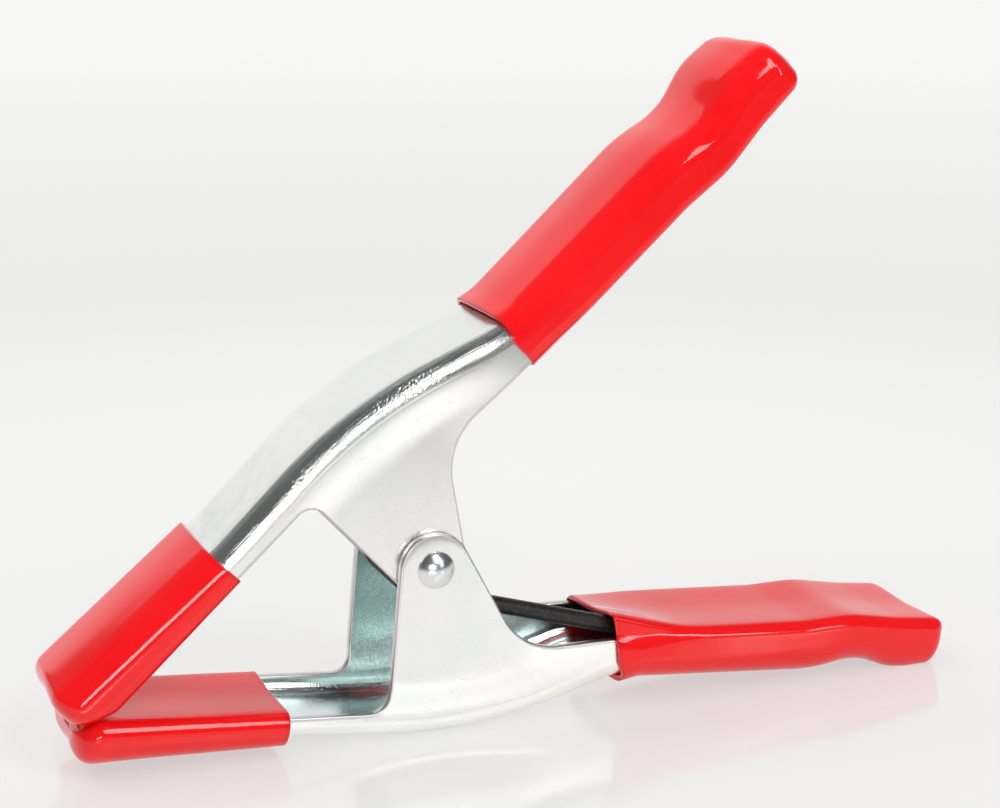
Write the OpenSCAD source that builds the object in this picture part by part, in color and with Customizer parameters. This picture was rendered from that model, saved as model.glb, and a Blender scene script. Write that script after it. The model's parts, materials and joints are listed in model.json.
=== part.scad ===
// Spring clamp: two pressed-steel arms on a riveted pivot, closed by a torsion
// spring, with dipped vinyl covers on the jaws and grips on the handles.
//
// Both arms are the same pressing apart from their ears, so they share one
// profile in arm coordinates, with the pivot at the origin:
//   u  along the arm, jaws at negative u and handle at positive u
//   y  across the arm
//   v  from the pivot out to the back of the arm, which is the channel's web
// The upper arm is placed as it is, and the lower arm is the same turned half
// round u. The clamp stands as it lies on a bench, on the bulge of its lower
// arm and the end of its lower grip, jaws closed, with the floor at z = 0.

/* [Sheet steel] */
// Thickness of the pressed sheet
sheet_t = 2; // [1.5:0.1:2.2]
// Outside radius of the bend between web and flanges
bend_r = 5; // [4:0.25:6]
// Width of the channel over the jaws
jaw_w = 29.1; // [28:0.1:30]
// Width of the channel over the handles
handle_w = 30.2; // [28:0.1:31]

/* [Arm profile] */
// Distance from the pivot to the back of the arm at its bulge
back_v = 39.2; // [38:0.1:40]
// Distance from the pivot to the back of the arm at the jaw's tip
jaw_back_v = 42.7; // [42:0.1:44]
// Reach of the steel jaw from the pivot
jaw_reach = 70.6; // [69:0.2:73]
// Length of the steel handle from the pivot
handle_reach = 131; // [130:0.2:133]
// Distance from the pivot to the edge of the lower jaw's flanges
lower_jaw_edge_v = 33.4; // [32:0.1:34]
// Distance from the pivot to the edge of the upper jaw's flanges
upper_jaw_edge_v = 31.8; // [31:0.1:33]

/* [Ears and pivot] */
// Radius of the round top of each ear
ear_r = 8; // [7:0.1:9]
// Width over the lower arm's ears, which lie outside
lower_ear_w = 32; // [31:0.1:33]
// Play between a lower ear and the upper ear beside it
ear_gap = 0.3; // [0.2:0.05:0.5]
// Diameter of the rivet's shank
rivet_d = 6; // [5:0.1:7]
// Running clearance on radius between shank and upper ears
rivet_play = 0.06; // [0.03:0.01:0.09]
// Diameter of the rivet's domed heads
rivet_head_d = 8.2; // [7.6:0.1:9]
// Height of the rivet's domed heads
rivet_head_h = 2.1; // [1.5:0.1:2.6]

/* [Spring] */
// Diameter of the spring wire
wire_d = 3.8; // [3.5:0.1:3.8]
// Radius of the coil, to the middle of the wire
coil_r = 6.7; // [6.5:0.1:7]
// Distance of each leg from the middle plane
leg_y = 9.5; // [9.45:0.05:9.5]
// Slope of each leg towards the back of its handle
leg_slope = 9.5; // [9:0.1:9.6]
// Distance from the pivot to the end of each leg
leg_reach = 81.4; // [76:0.2:81.4]

/* [Vinyl covers] */
// Wall of the jaw covers and grips
vinyl_t = 1.1; // [0.9:0.05:1.2]
// Room between steel and vinyl
vinyl_gap = 0.12; // [0.1:0.01:0.15]
// Gap between the two jaw covers when the clamp is closed
jaw_gap = 0.3; // [0.3:0.05:0.6]
// Distance from the pivot to the mouth of a jaw cover
cover_mouth = 29; // [26:0.5:32]
// Distance from the pivot to the mouth of a grip
grip_mouth = 46.8; // [46:0.2:49]

/* [Pose] */
// Angle between the two arms with the jaws closed
closed_angle = 51.5; // [51.5:0.1:54]

/* [Hidden] */

steel_colour = [0.80, 0.82, 0.82];
rivet_colour = [0.72, 0.73, 0.75];
wire_colour = [0.09, 0.09, 0.10];
vinyl_colour = [0.86, 0.05, 0.05];

// ---------- Plane curves ----------

function unit(a) = a / norm(a);
function mix(a, b, f) = a + (b - a) * f;
function smooth(x) = let (c = min(1, max(0, x))) c * c * (3 - 2 * c);
function reversed(p) = [for (i = [len(p) - 1:-1:0]) p[i]];

// Points of the fillet of radius r at corner b of the path a, b, c
function fillet(a, b, c, r, step) =
    let (
        to_a = unit(a - b),
        to_c = unit(c - b),
        corner = acos(max(-1, min(1, to_a * to_c))),
        turn = 180 - corner,
        centre = b + unit(to_a + to_c) * r / sin(corner / 2),
        from = b + to_a * r / tan(corner / 2) - centre,
        side = to_a[0] * to_c[1] > to_a[1] * to_c[0] ? -1 : 1,
        n = max(2, ceil(turn / step))
    )
    [
        for (i = [0:n])
            let (q = side * turn * i / n)
            centre + [from[0] * cos(q) - from[1] * sin(q), from[0] * sin(q) + from[1] * cos(q)]
    ];

// A path through corners [u, v, fillet radius], where radius 0 keeps the corner
function plane_point(c) = [c[0], c[1]];
function rounded_path(corners, step) = [
    for (i = [0:len(corners) - 1])
        if (corners[i][2] == 0) plane_point(corners[i])
        else each fillet(
            plane_point(corners[i - 1]), plane_point(corners[i]),
            plane_point(corners[i + 1]), corners[i][2], step
        )
];

// A path with its long segments divided, so that none is longer than limit, and
// with points that coincide taken once
coincide = 0.001;
function divided(p, limit) = [
    for (i = [0:len(p) - 2])
        let (length = norm(p[i + 1] - p[i]), n = ceil(length / limit))
        if (length > coincide)
            for (k = [0:n - 1]) mix(p[i], p[i + 1], k / n),
    p[len(p) - 1]
];

// Length along a path up to each of its points
function run_lengths(p, sums = [0]) =
    len(sums) == len(p) ? sums
    : run_lengths(p, concat(sums, [sums[len(sums) - 1] + norm(p[len(sums)] - p[len(sums) - 1])]));

// ---------- Profile of both arms ----------

// The shoulder falls from the bulge to the neck, where the handle begins
shoulder_slope = -0.4;
shoulder_u = 14.1;
handle_slope = -0.026;
handle_v = back_v - 14;
handle_u = 52;
neck_u = (back_v - handle_v - shoulder_slope * shoulder_u + handle_slope * handle_u)
    / (handle_slope - shoulder_slope);
function handle_line(u) = handle_v + handle_slope * (u - handle_u);

// Outer surface of the web: jaw, bulge, shoulder, handle, waist and flared end
back_path = rounded_path([
    [-jaw_reach, jaw_back_v, 0],
    [-26, back_v, 30],
    [shoulder_u, back_v, 104],
    [neck_u, handle_line(neck_u), 33],
    [99.5, handle_line(99.5), 38],
    [110.5, handle_line(110.5) - 2.7, 22],
    [122.5, handle_line(122.5), 26],
    [handle_reach, handle_line(handle_reach) - 0.8, 0]
], 4);
function back(u) =
    u < -jaw_reach ? jaw_back_v + (u + jaw_reach) * (jaw_back_v - back_v) / (26 - jaw_reach)
    : lookup(u, back_path);
// Unit normal of the web, pointing out of the back
function back_normal(u) = unit([back(u - 0.5) - back(u + 0.5), 1]);

// The closed jaws meet in the plane that halves the angle between the arms
meet_slope = tan(closed_angle / 2);
// Vinyl and half the gap, measured along v between that plane and the steel
meet_lap = (vinyl_t + vinyl_gap + jaw_gap / 2) / cos(closed_angle / 2);

// The free edges of the jaws draw away from each other towards the tips. Each
// has its stated distance from the pivot at edge_u.
edge_rise = 0.03;
edge_u = -18;
function jaw_edge(jaw_edge_v, u) = jaw_edge_v + edge_rise * (edge_u - u);
// Place at which a jaw's edge, moved by inset, meets a line that runs along the
// meeting plane from start_v above the pivot
function bevel_u(jaw_edge_v, inset, start_v) =
    (start_v + inset - jaw_edge_v - edge_rise * edge_u) / (meet_slope - edge_rise);

// Both sides of an ear are tangent to its round top: the jaw side leans a
// little away from the jaw, and the handle side slants down to the handle
ear_lean = 1.8;
ear_jaw_u = -ear_r * tan(45 + ear_lean / 2);
ear_foot_r = 4;
ear_slant = 55.5;
ear_side_u = ear_r * tan(ear_slant / 2);
ear_side_v = 18.6;

// Free edge of flanges and ears, from the jaw's tip to the handle's end. The
// flanges of the upper arm are deeper by drop than those of the lower arm.
function edge_corners(jaw_edge_v) =
    let (
        drop = lower_jaw_edge_v - jaw_edge_v,
        side_v = ear_side_v - drop,
        tip_u = bevel_u(jaw_edge_v, 0, meet_lap),
        lean = tan(ear_lean),
        foot_u = (ear_jaw_u + (jaw_edge(jaw_edge_v, 0) + ear_r) * lean) / (1 + edge_rise * lean)
    )
    [
        [-jaw_reach, jaw_reach * meet_slope + meet_lap, 0],
        [tip_u, jaw_edge(jaw_edge_v, tip_u), 6],
        [foot_u, jaw_edge(jaw_edge_v, foot_u), ear_foot_r],
        [ear_jaw_u, -ear_r, ear_r],
        [ear_side_u, -ear_r, ear_r],
        [ear_side_u + (side_v + ear_r) / tan(ear_slant), side_v, 16],
        [60, 15.2 - 0.4 * drop, 40],
        [95, 13.6 - 0.2 * drop, 30],
        [107, 12.1 - 0.2 * drop, 30],
        [120, 13, 30],
        [handle_reach, 13.1, 0]
    ];
function edge_path(jaw_edge_v) = rounded_path(edge_corners(jaw_edge_v), 15);

// Half the width of the channel at u
function half_w(u) = mix(jaw_w, handle_w, smooth((u + 10) / 50)) / 2;

// Below the bend the ears are set off sideways over this range of depth
joggle_from = 5.5;
joggle_to = 14;
function joggle(u, v) =
    smooth((back(u) - v - joggle_from) / (joggle_to - joggle_from))
    * smooth((u + 22) / 12)
    * smooth((46 - u) / 26);

// ---------- Grids ----------

// Two triangles for each cell of a grid of closed rings of m points
function ring_cells(rings, m) = [
    for (i = [0:rings - 2])
        for (k = [0:m - 1])
            let (a = i * m + k, b = i * m + (k + 1) % m)
            each [[a, b + m, b], [a, a + m, b + m]]
];
// Strip of cells across a ring in which point k faces point m - 1 - k
function strip_cap(start, m, flip) = [
    for (k = [0:m / 2 - 2])
        let (a = start + k, b = a + 1, d = start + m - 1 - k, c = d - 1)
        each (flip ? [[a, b, c], [a, c, d]] : [[a, c, b], [a, d, c]])
];
// Closed solid through a list of rings, each of m points. Seen from its first
// ring towards the last, each ring runs clockwise.
module ring_solid(rings) {
    m = len(rings[0]);
    polyhedron(
        [for (ring = rings) each ring],
        concat(
            strip_cap(0, m, true),
            ring_cells(len(rings), m),
            strip_cap((len(rings) - 1) * m, m, false)
        ),
        convexity = 8
    );
}

// ---------- Pressed arms ----------

// The rings fan out along an ear: their ends follow its outline, while their
// middles step evenly along the web, from the foot on the jaw side, where the
// edge first rises steeper than 45 degrees, to this place on the handle
fan_to_u = 36;
function turns_up(edge, i) = edge[i + 1][0] - edge[i][0] < edge[i][1] - edge[i + 1][1];
function web_stations(edge) =
    let (
        last = len(edge) - 1,
        sums = run_lengths(edge),
        i0 = min([for (i = [0:last - 1]) if (turns_up(edge, i)) i]),
        i1 = min([for (i = [0:last]) if (edge[i][0] >= fan_to_u) i])
    )
    [
        for (i = [0:last])
            let (
                u = i <= i0 || i >= i1 ? edge[i][0]
                    : mix(edge[i0][0], edge[i1][0], (sums[i] - sums[i0]) / (sums[i1] - sums[i0]))
            )
            min(handle_reach, u + bend_r * back_normal(u)[0])
    ];

// Depths below the web at which a flange has a row of points
row_depths = [bend_r, 8, 11, joggle_to];
bend_steps = 3;

// Half of a ring on the +y side: from free edge e up the flange, round the
// bend and onto the web at w. inset is 0 outside and the sheet's thickness inside.
function half_ring(e, w, ear_half_w, inset) =
    let (
        n = back_normal(w),
        bend = [w, back(w)] - n * bend_r,
        span = norm(e - bend),
        rows = len(row_depths)
    )
    concat(
        [
            for (k = [rows:-1:1])
                let (
                    depth = k == rows ? span : min(row_depths[k] - bend_r, span * k / rows),
                    p = mix(bend, e, depth / span),
                    y = mix(half_w(p[0]), ear_half_w, joggle(p[0], p[1]))
                )
                [p[0], y - inset, p[1]]
        ],
        [
            for (k = [0:bend_steps])
                let (
                    a = 90 * k / bend_steps,
                    p = bend + n * (bend_r - inset) * sin(a)
                )
                [p[0], half_w(w) - bend_r + (bend_r - inset) * cos(a), p[1]]
        ]
    );
function other_half(half) = [for (p = reversed(half)) [p[0], -p[1], p[2]]];

module channel(jaw_edge_v, ear_half_w) {
    edge = divided(edge_path(jaw_edge_v), 7);
    stations = web_stations(edge);
    ring_solid([
        for (i = [0:len(edge) - 1])
            let (
                outer = half_ring(edge[i], stations[i], ear_half_w, 0),
                inner = half_ring(edge[i], stations[i], ear_half_w, sheet_t)
            )
            concat(outer, other_half(outer), reversed(concat(inner, other_half(inner))))
    ]);
}

module cross_hole(d) {
    rotate([90, 0, 0])
        cylinder(d = d, h = 2 * lower_ear_w, center = true, $fn = 64);
}

// ---------- Vinyl covers ----------

corner_steps = 3;
// Quarter round of radius r about [y, v], starting at angle from
function quarter(u, y, v, r, from) = [
    for (k = [0:corner_steps])
        let (q = from + 90 * k / corner_steps)
        [u, y + r * cos(q), v + r * sin(q)]
];
// Closed ring of a sleeve that spans v from near to far, with its near corners
// rounded by near_r and its far corners by far_r
function sleeve_ring(u, near, far, half, near_r, far_r) =
    let (
        side = concat(
            [[u, 0, near]],
            quarter(u, half - near_r, near + near_r, near_r, -90),
            quarter(u, half - far_r, far - far_r, far_r, 0),
            [[u, 0, far]]
        )
    )
    concat(side, [for (i = [len(side) - 2:-1:1]) [u, -side[i][1], side[i][2]]]);

// Radii of a sleeve inside and outside over the square edges of the flanges
near_inner_r = 0.2;
near_outer_r = 1.8;
// The closed ends are round: they shrink all round, more across the sleeve than
// in its depth, and by near_share of it on the near side
nose_length = 3.7;
nose_plan = 1.7;
// Ring at u round the steel, with the wall's thickness added outside
function cover_ring(u, near, wall, shrink = 0, near_share = 1) =
    let (
        low = near + near_share * shrink,
        high = back(u) + vinyl_gap + wall - shrink,
        near_r = wall > 0 ? max(near_inner_r, near_outer_r - shrink) : near_inner_r,
        far_r = bend_r + vinyl_gap + wall - shrink,
        least_side = 0.1
    )
    sleeve_ring(
        u, low, high,
        half_w(u) + vinyl_gap + wall - nose_plan * shrink,
        near_r, min(far_r, high - low - near_r - least_side)
    );

// Jaw cover: bevelled where the closed jaws meet, with a round nose
cover_end = jaw_reach + vinyl_gap + nose_length;
cover_nose_r = 4;
cover_near_share = 0.4;
meet_cos = cos(closed_angle / 2);
function bevel_v(wall) = (jaw_gap / 2 + vinyl_t - wall) / meet_cos;
function cover_near(u, edge_v, wall) =
    max(jaw_edge(edge_v, u) - vinyl_gap - wall, bevel_v(wall) - u * meet_slope);
// Places along the jaw at which a cover has a ring, nose end first
function cover_stations(edge_v, wall) = [
    cover_nose_r - cover_end,
    bevel_u(edge_v, vinyl_gap + wall, bevel_v(wall)),
    -cover_mouth - 22,
    -cover_mouth - 8,
    -cover_mouth
];
function jaw_cover_rings(edge_v) = concat(
    [
        for (b = [90:-22.5:22.5])
            let (
                u = cover_nose_r * (1 - sin(b)) - cover_end,
                shrink = cover_nose_r * (1 - cos(b))
            )
            cover_ring(u, cover_near(u, edge_v, vinyl_t), vinyl_t, shrink, cover_near_share)
    ],
    [for (u = cover_stations(edge_v, vinyl_t)) cover_ring(u, cover_near(u, edge_v, vinyl_t), vinyl_t)],
    [for (u = reversed(cover_stations(edge_v, 0))) cover_ring(u, cover_near(u, edge_v, 0), 0)],
    [cover_ring(-jaw_reach - vinyl_gap, cover_near(-jaw_reach - vinyl_gap, edge_v, 0), 0)]
);

// Middle line of a spring leg in arm coordinates
function leg_v(u) = coil_r / cos(leg_slope) + u * tan(leg_slope);
// Side of the leg that faces the pivot line
function leg_near(u) = leg_v(u) - wire_d / 2 / cos(leg_slope);

// Grip: the spring leg leaves the channel over the flange at the mouth, and
// lifts the near wall of the grip on its own side
grip_end = handle_reach + vinyl_gap + nose_length;
grip_nose_r = 5;
leg_room = 0.15;
mouth_skew = 2.4;
function grip_ring(u, edge, wall, shrink = 0, skew = 0) =
    let (
        steel = lookup(u, edge),
        half = half_w(u) + vinyl_gap + wall,
        leg_share = (leg_y + half) / (2 * half),
        over_leg = leg_near(u - skew * leg_share) - leg_room,
        lift = max(0, steel - vinyl_gap - over_leg) / leg_share,
        near = steel - vinyl_gap - wall,
        bend = back(u) - bend_r
    )
    [
        for (p = cover_ring(u, near, wall, shrink))
            let (share = (p[1] + half) / (2 * half) * min(1, max(0, (bend - p[2]) / (bend - near))))
            [p[0] - skew * share, p[1], p[2] - lift * share]
    ];
function grip_rings(edge_v) =
    let (
        edge = [for (p = divided(edge_path(edge_v), 7)) if (p[0] > fan_to_u - 2) p],
        stations = [for (p = edge) if (p[0] > grip_mouth + 1) p[0]],
        straight_end = grip_end - grip_nose_r,
        outside = [for (u = stations) if (u < straight_end) u]
    )
    concat(
        [grip_ring(handle_reach + vinyl_gap, edge, 0)],
        [for (u = reversed(stations)) grip_ring(u, edge, 0)],
        [grip_ring(grip_mouth, edge, 0, 0, mouth_skew)],
        [grip_ring(grip_mouth, edge, vinyl_t, 0, mouth_skew)],
        [for (u = outside) grip_ring(u, edge, vinyl_t)],
        [
            for (b = [0:22.5:90])
                grip_ring(straight_end + grip_nose_r * sin(b), edge, vinyl_t, grip_nose_r * (1 - cos(b)))
        ]
    );

// ---------- Torsion spring ----------

// The wire runs up the lower leg, round the coil and out along the upper leg.
// Angles are measured in the lower arm's plane, from its handle towards the
// upper arm, and the coil is wound towards smaller angles.
wire_sides = 8;
rings_per_turn = 16;
coil_start = -90 - leg_slope;
coil_sweep = 5 * 360 - 180 - 2 * leg_slope - closed_angle;
coil_rings = ceil(coil_sweep / 360 * rings_per_turn);
// The end turns are a little more open, so that they clear the legs
function coil_y(f) = let (x = 2 * f - 1) leg_y * (x + 0.035 * (pow(x, 3) - x));

function radial(q) = [cos(q), 0, sin(q)];
function wire_ring(centre, q) = [
    for (k = [0:wire_sides - 1])
        let (a = 360 * (k + 0.5) / wire_sides)
        centre + wire_d / 2 * (radial(q) * cos(a) - [0, sin(a), 0])
];
// Middle of the wire at each ring of the coil, with the angle of the ring
coil_path = [
    for (i = [0:coil_rings])
        let (f = i / coil_rings, q = coil_start - coil_sweep * f)
        [coil_r * radial(q) + [0, coil_y(f), 0], q]
];
// End of each leg, in the lower arm's plane
leg_length = leg_reach / cos(leg_slope) + coil_r * tan(leg_slope);
lower_leg_end = coil_path[0][0] + leg_length * radial(-leg_slope);
upper_leg_end = coil_path[coil_rings][0] + leg_length * radial(closed_angle + leg_slope);
wire_path = concat(
    [[lower_leg_end, coil_start]],
    coil_path,
    [[upper_leg_end, coil_start - coil_sweep]]
);

// Least gap between two stretches of the wire, measured on the path's points,
// with the legs divided as finely as the coil
function point_on_leg(from, to, i) = mix(from, to, i / 40);
gap_points = concat(
    [for (i = [40:-1:1]) point_on_leg(coil_path[0][0], lower_leg_end, i)],
    [for (c = coil_path) c[0]],
    [for (i = [1:40]) point_on_leg(coil_path[coil_rings][0], upper_leg_end, i)]
);
least_gap = min([
    for (i = [0:len(gap_points) - 1])
        for (j = [i + rings_per_turn / 2 + 1:1:len(gap_points) - 1])
            norm(gap_points[i] - gap_points[j])
]) - wire_d;
echo(least_gap_in_spring = least_gap);

// ---------- Places ----------

// The bench touches the bulge of the lower arm and the back of its grip
bulge_points = [for (p = back_path) if (p[0] < neck_u) p];
grip_points = [
    for (ring = grip_rings(lower_jaw_edge_v)) for (p = ring)
        if (p[0] > neck_u + 40 && p[1] == 0 && p[2] > 0) [p[0], p[2]]
];
bench_slope = min([
    for (p = bulge_points) max([for (g = grip_points) (g[1] - p[1]) / (g[0] - p[0])])
]);
bench_tilt = -atan(bench_slope);
// How far a point [u, v] of the lower arm reaches below the pivot
function below(p) = p[0] * sin(bench_tilt) + p[1] * cos(bench_tilt);
pivot_z = max([for (p = bulge_points) below(p)]);
echo(bench_tilt = bench_tilt, below_grip = max([for (p = grip_points) below(p)]));

// The origin is below the middle of the clamp's length
x_least = min([
    for (ring = jaw_cover_rings(upper_jaw_edge_v)) for (p = ring)
        p[0] * cos(bench_tilt - closed_angle) + p[2] * sin(bench_tilt - closed_angle)
]);
x_most = max([
    for (ring = grip_rings(lower_jaw_edge_v)) for (p = ring)
        p[0] * cos(bench_tilt) - p[2] * sin(bench_tilt)
]);
pivot_x = -(x_least + x_most) / 2;
echo(pivot_x = pivot_x, pivot_z = pivot_z);

module pivot_place() {
    translate([pivot_x, 0, pivot_z])
        rotate([0, bench_tilt, 0])
            children();
}
module lower_place() {
    pivot_place()
        rotate([180, 0, 0])
            children();
}
module upper_place() {
    pivot_place()
        rotate([0, -closed_angle, 0])
            children();
}

// ---------- The eight pieces ----------

upper_ear_half_w = lower_ear_w / 2 - sheet_t - ear_gap;

module lower_arm() {
    color(steel_colour)
        lower_place()
            difference() {
                channel(lower_jaw_edge_v, lower_ear_w / 2);
                cross_hole(rivet_d);
            }
}

module upper_arm() {
    color(steel_colour)
        upper_place()
            difference() {
                channel(upper_jaw_edge_v, upper_ear_half_w);
                cross_hole(rivet_d + 2 * rivet_play);
            }
}

module rivet_head() {
    dome_r = (pow(rivet_head_d / 2, 2) + pow(rivet_head_h, 2)) / (2 * rivet_head_h);
    translate([0, 0, lower_ear_w / 2])
        intersection() {
            cylinder(d = rivet_head_d, h = rivet_head_h, $fn = 64);
            translate([0, 0, rivet_head_h - dome_r])
                sphere(r = dome_r, $fn = 64);
        }
}

module pivot_rivet() {
    color(rivet_colour)
        pivot_place()
            rotate([90, 0, 0]) {
                cylinder(d = rivet_d, h = lower_ear_w, center = true, $fn = 64);
                rivet_head();
                mirror([0, 0, 1]) rivet_head();
            }
}

module torsion_spring() {
    color(wire_colour)
        pivot_place()
            ring_solid([for (w = wire_path) wire_ring(w[0], w[1])]);
}

module lower_jaw_cover() {
    color(vinyl_colour)
        lower_place()
            ring_solid(jaw_cover_rings(lower_jaw_edge_v));
}

module upper_jaw_cover() {
    color(vinyl_colour)
        upper_place()
            ring_solid(jaw_cover_rings(upper_jaw_edge_v));
}

module lower_grip() {
    color(vinyl_colour)
        lower_place()
            ring_solid(grip_rings(lower_jaw_edge_v));
}

module upper_grip() {
    color(vinyl_colour)
        upper_place()
            ring_solid(grip_rings(upper_jaw_edge_v));
}

lower_arm();
upper_arm();
pivot_rivet();
torsion_spring();
lower_jaw_cover();
upper_jaw_cover();
lower_grip();
upper_grip();
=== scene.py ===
"""Looks of the spring clamp: pressed steel arms, rivet, torsion spring and dipped vinyl.

Every piece is a surface worked out with numpy in arm coordinates, in millimetres, with the
pivot at the origin: u runs along the arm (jaws at negative u), y across it and v from the
pivot out to the back of the arm. The upper arm is placed as it is, and the lower arm is the
same turned half round u.
"""

from __future__ import annotations

import json
import logging
import math
from dataclasses import dataclass, field
from enum import Enum
from functools import cached_property
from typing import ClassVar

import bpy
import numpy as np
from mathutils import Matrix, Vector


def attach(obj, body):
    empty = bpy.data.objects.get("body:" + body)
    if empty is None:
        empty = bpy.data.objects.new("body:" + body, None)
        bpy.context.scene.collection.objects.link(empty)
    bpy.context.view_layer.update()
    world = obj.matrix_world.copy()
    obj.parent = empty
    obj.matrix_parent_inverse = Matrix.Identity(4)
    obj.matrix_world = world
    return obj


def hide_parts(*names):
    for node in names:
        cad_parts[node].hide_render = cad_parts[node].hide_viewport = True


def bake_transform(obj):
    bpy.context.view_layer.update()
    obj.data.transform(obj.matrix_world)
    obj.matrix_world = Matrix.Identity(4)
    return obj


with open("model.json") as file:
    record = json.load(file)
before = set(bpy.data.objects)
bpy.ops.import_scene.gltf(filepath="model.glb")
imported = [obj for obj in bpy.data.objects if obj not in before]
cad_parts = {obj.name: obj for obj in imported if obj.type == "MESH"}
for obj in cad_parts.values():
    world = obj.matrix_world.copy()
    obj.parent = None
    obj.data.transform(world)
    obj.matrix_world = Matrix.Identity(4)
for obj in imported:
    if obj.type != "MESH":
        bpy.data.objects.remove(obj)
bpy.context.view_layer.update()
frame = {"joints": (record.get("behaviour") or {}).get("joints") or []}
PIVOT = Vector(frame["joints"][0]["pos_m"])

LOG = logging.getLogger("spring_clamp")
MM = 0.001
MOTTLE_RANGE = (0.3, 0.7)

Colour = tuple[float, float, float]
Span = tuple[float, float]
Stops = tuple[tuple[float, Colour], ...]
Socket = bpy.types.NodeSocket
Outputs = bpy.types.NodeOutputs


# ---------------------------------------------------------------- plane curves and shares


def unit(a: np.ndarray) -> np.ndarray:
    """Vectors along the last axis, scaled to length one."""
    return a / np.linalg.norm(a, axis=-1, keepdims=True)


def smooth(x: np.ndarray) -> np.ndarray:
    """Smoothstep: 3x^2 - 2x^3 of x kept between 0 and 1."""
    c = np.clip(x, 0.0, 1.0)
    return c * c * (3.0 - 2.0 * c)


def eased(x: np.ndarray, start: float | np.ndarray, end: float | np.ndarray) -> np.ndarray:
    """Smoothstep of x from 0 at start to 1 at end, where end may be the lesser."""
    return smooth((x - start) / (end - start))


def mix(a: np.ndarray, b: np.ndarray, f: np.ndarray) -> np.ndarray:
    """The point a share f of the way from a to b."""
    return a + (b - a) * f


def spaced(start: float, end: float, step: float) -> np.ndarray:
    """Evenly spaced values from start to end, no further apart than step."""
    return np.linspace(start, end, max(2, math.ceil(abs(end - start) / step) + 1))


def fillet(a: np.ndarray, b: np.ndarray, c: np.ndarray, radius: float, step: float) -> np.ndarray:
    """Arc of the given radius that rounds the corner b of the path a, b, c.

    The centre lies on the corner's bisector at radius / sin(half the corner's angle), and the
    arc turns about it from one tangent point to the other.

    Args:
        a, b, c: Points in the plane.
        radius: Radius of the arc.
        step: Largest turn between two points, in degrees.

    Returns:
        Points of the arc, one row each.
    """
    to_a, to_c = unit(a - b), unit(c - b)
    corner = math.acos(float(np.clip(to_a @ to_c, -1.0, 1.0)))
    turn = math.pi - corner
    centre = b + unit(to_a + to_c) * radius / math.sin(corner / 2.0)
    start = b + to_a * radius / math.tan(corner / 2.0) - centre
    side = -1.0 if to_a[0] * to_c[1] > to_a[1] * to_c[0] else 1.0
    q = side * turn * np.linspace(0.0, 1.0, max(3, math.ceil(math.degrees(turn) / step) + 1))
    x = start[0] * np.cos(q) - start[1] * np.sin(q)
    y = start[0] * np.sin(q) + start[1] * np.cos(q)
    return centre + np.stack([x, y], axis=1)


def rounded_path(corners: list[tuple[float, float, float]], step: float) -> np.ndarray:
    """Path of straights, joined by an arc at each corner.

    Args:
        corners: Corners (u, v, radius), where radius 0 keeps the corner.
        step: Largest turn between two points of an arc, in degrees.

    Returns:
        Points (u, v), one row each.
    """
    points = np.array([corner[:2] for corner in corners])
    pieces = []
    for i, (_, _, radius) in enumerate(corners):
        if radius == 0:
            pieces.append(points[i : i + 1])
        else:
            pieces.append(fillet(points[i - 1], points[i], points[i + 1], radius, step))
    return np.concatenate(pieces)


def divided(path: np.ndarray, limit: float, coincide: float = 0.001) -> np.ndarray:
    """Cuts the long segments of a path evenly.

    Args:
        path: Points, one row each.
        limit: Length that no segment exceeds afterwards.
        coincide: Distance within which two points are taken once.

    Returns:
        Points of the divided path.
    """
    parts = []
    for a, b in zip(path[:-1], path[1:]):
        length = float(np.linalg.norm(b - a))
        if length > coincide:
            n = math.ceil(length / limit)
            parts.append(mix(a, b, np.arange(n)[:, None] / n))
    return np.concatenate([*parts, path[-1:]])


def run_length(path: np.ndarray) -> np.ndarray:
    """Length along the path up to each of its points."""
    return np.concatenate([[0.0], np.cumsum(np.linalg.norm(np.diff(path, axis=0), axis=1))])


# ---------------------------------------------------------------- sizes, profile and places


@dataclass(frozen=True)
class ClampSizes:
    """Driving sizes of the clamp in millimetres and degrees.

    A name ends in _v for a depth from the pivot line, in _w for a width across, in _r for a
    radius and in _d for a diameter. Reaches and mouths lie along the arm from the pivot.
    """

    sheet: float = 2.0
    bend_r: float = 5.0
    jaw_w: float = 29.1
    handle_w: float = 30.2
    back_v: float = 39.2
    jaw_back_v: float = 42.7
    lower_edge_v: float = 33.4
    upper_edge_v: float = 31.8
    jaw_reach: float = 70.6
    handle_reach: float = 131.0
    ear_r: float = 8.0
    lower_ear_w: float = 32.0
    ear_gap: float = 0.3
    rivet_d: float = 6.0
    rivet_play: float = 0.06
    rivet_head_d: float = 8.2
    rivet_head_h: float = 2.1
    wire_d: float = 3.8
    coil_r: float = 6.7
    leg_y: float = 9.5
    leg_slope: float = 9.5
    leg_reach: float = 81.4
    vinyl: float = 1.1
    vinyl_gap: float = 0.12
    jaw_gap: float = 0.3
    cover_mouth: float = 29.0
    grip_mouth: float = 46.8
    closed_angle: float = 51.5
    nose_length: float = 3.7
    bench_tilt: float = 6.81775


SIZES = ClampSizes()


class Side(Enum):
    """Which of the two arms a piece belongs to."""

    LOWER = "lower"
    UPPER = "upper"

    @property
    def body(self) -> str:
        """Name of the moving body."""
        return f"{self.value}_clamp"

    @property
    def edge_v(self) -> float:
        """Depth of this arm's jaw edge from the pivot line."""
        return SIZES.lower_edge_v if self is Side.LOWER else SIZES.upper_edge_v

    @property
    def ear_half_w(self) -> float:
        """Half the width over this arm's ears: the lower ones lie outside the upper ones."""
        outside = SIZES.lower_ear_w / 2.0
        return outside if self is Side.LOWER else outside - SIZES.sheet - SIZES.ear_gap


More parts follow.
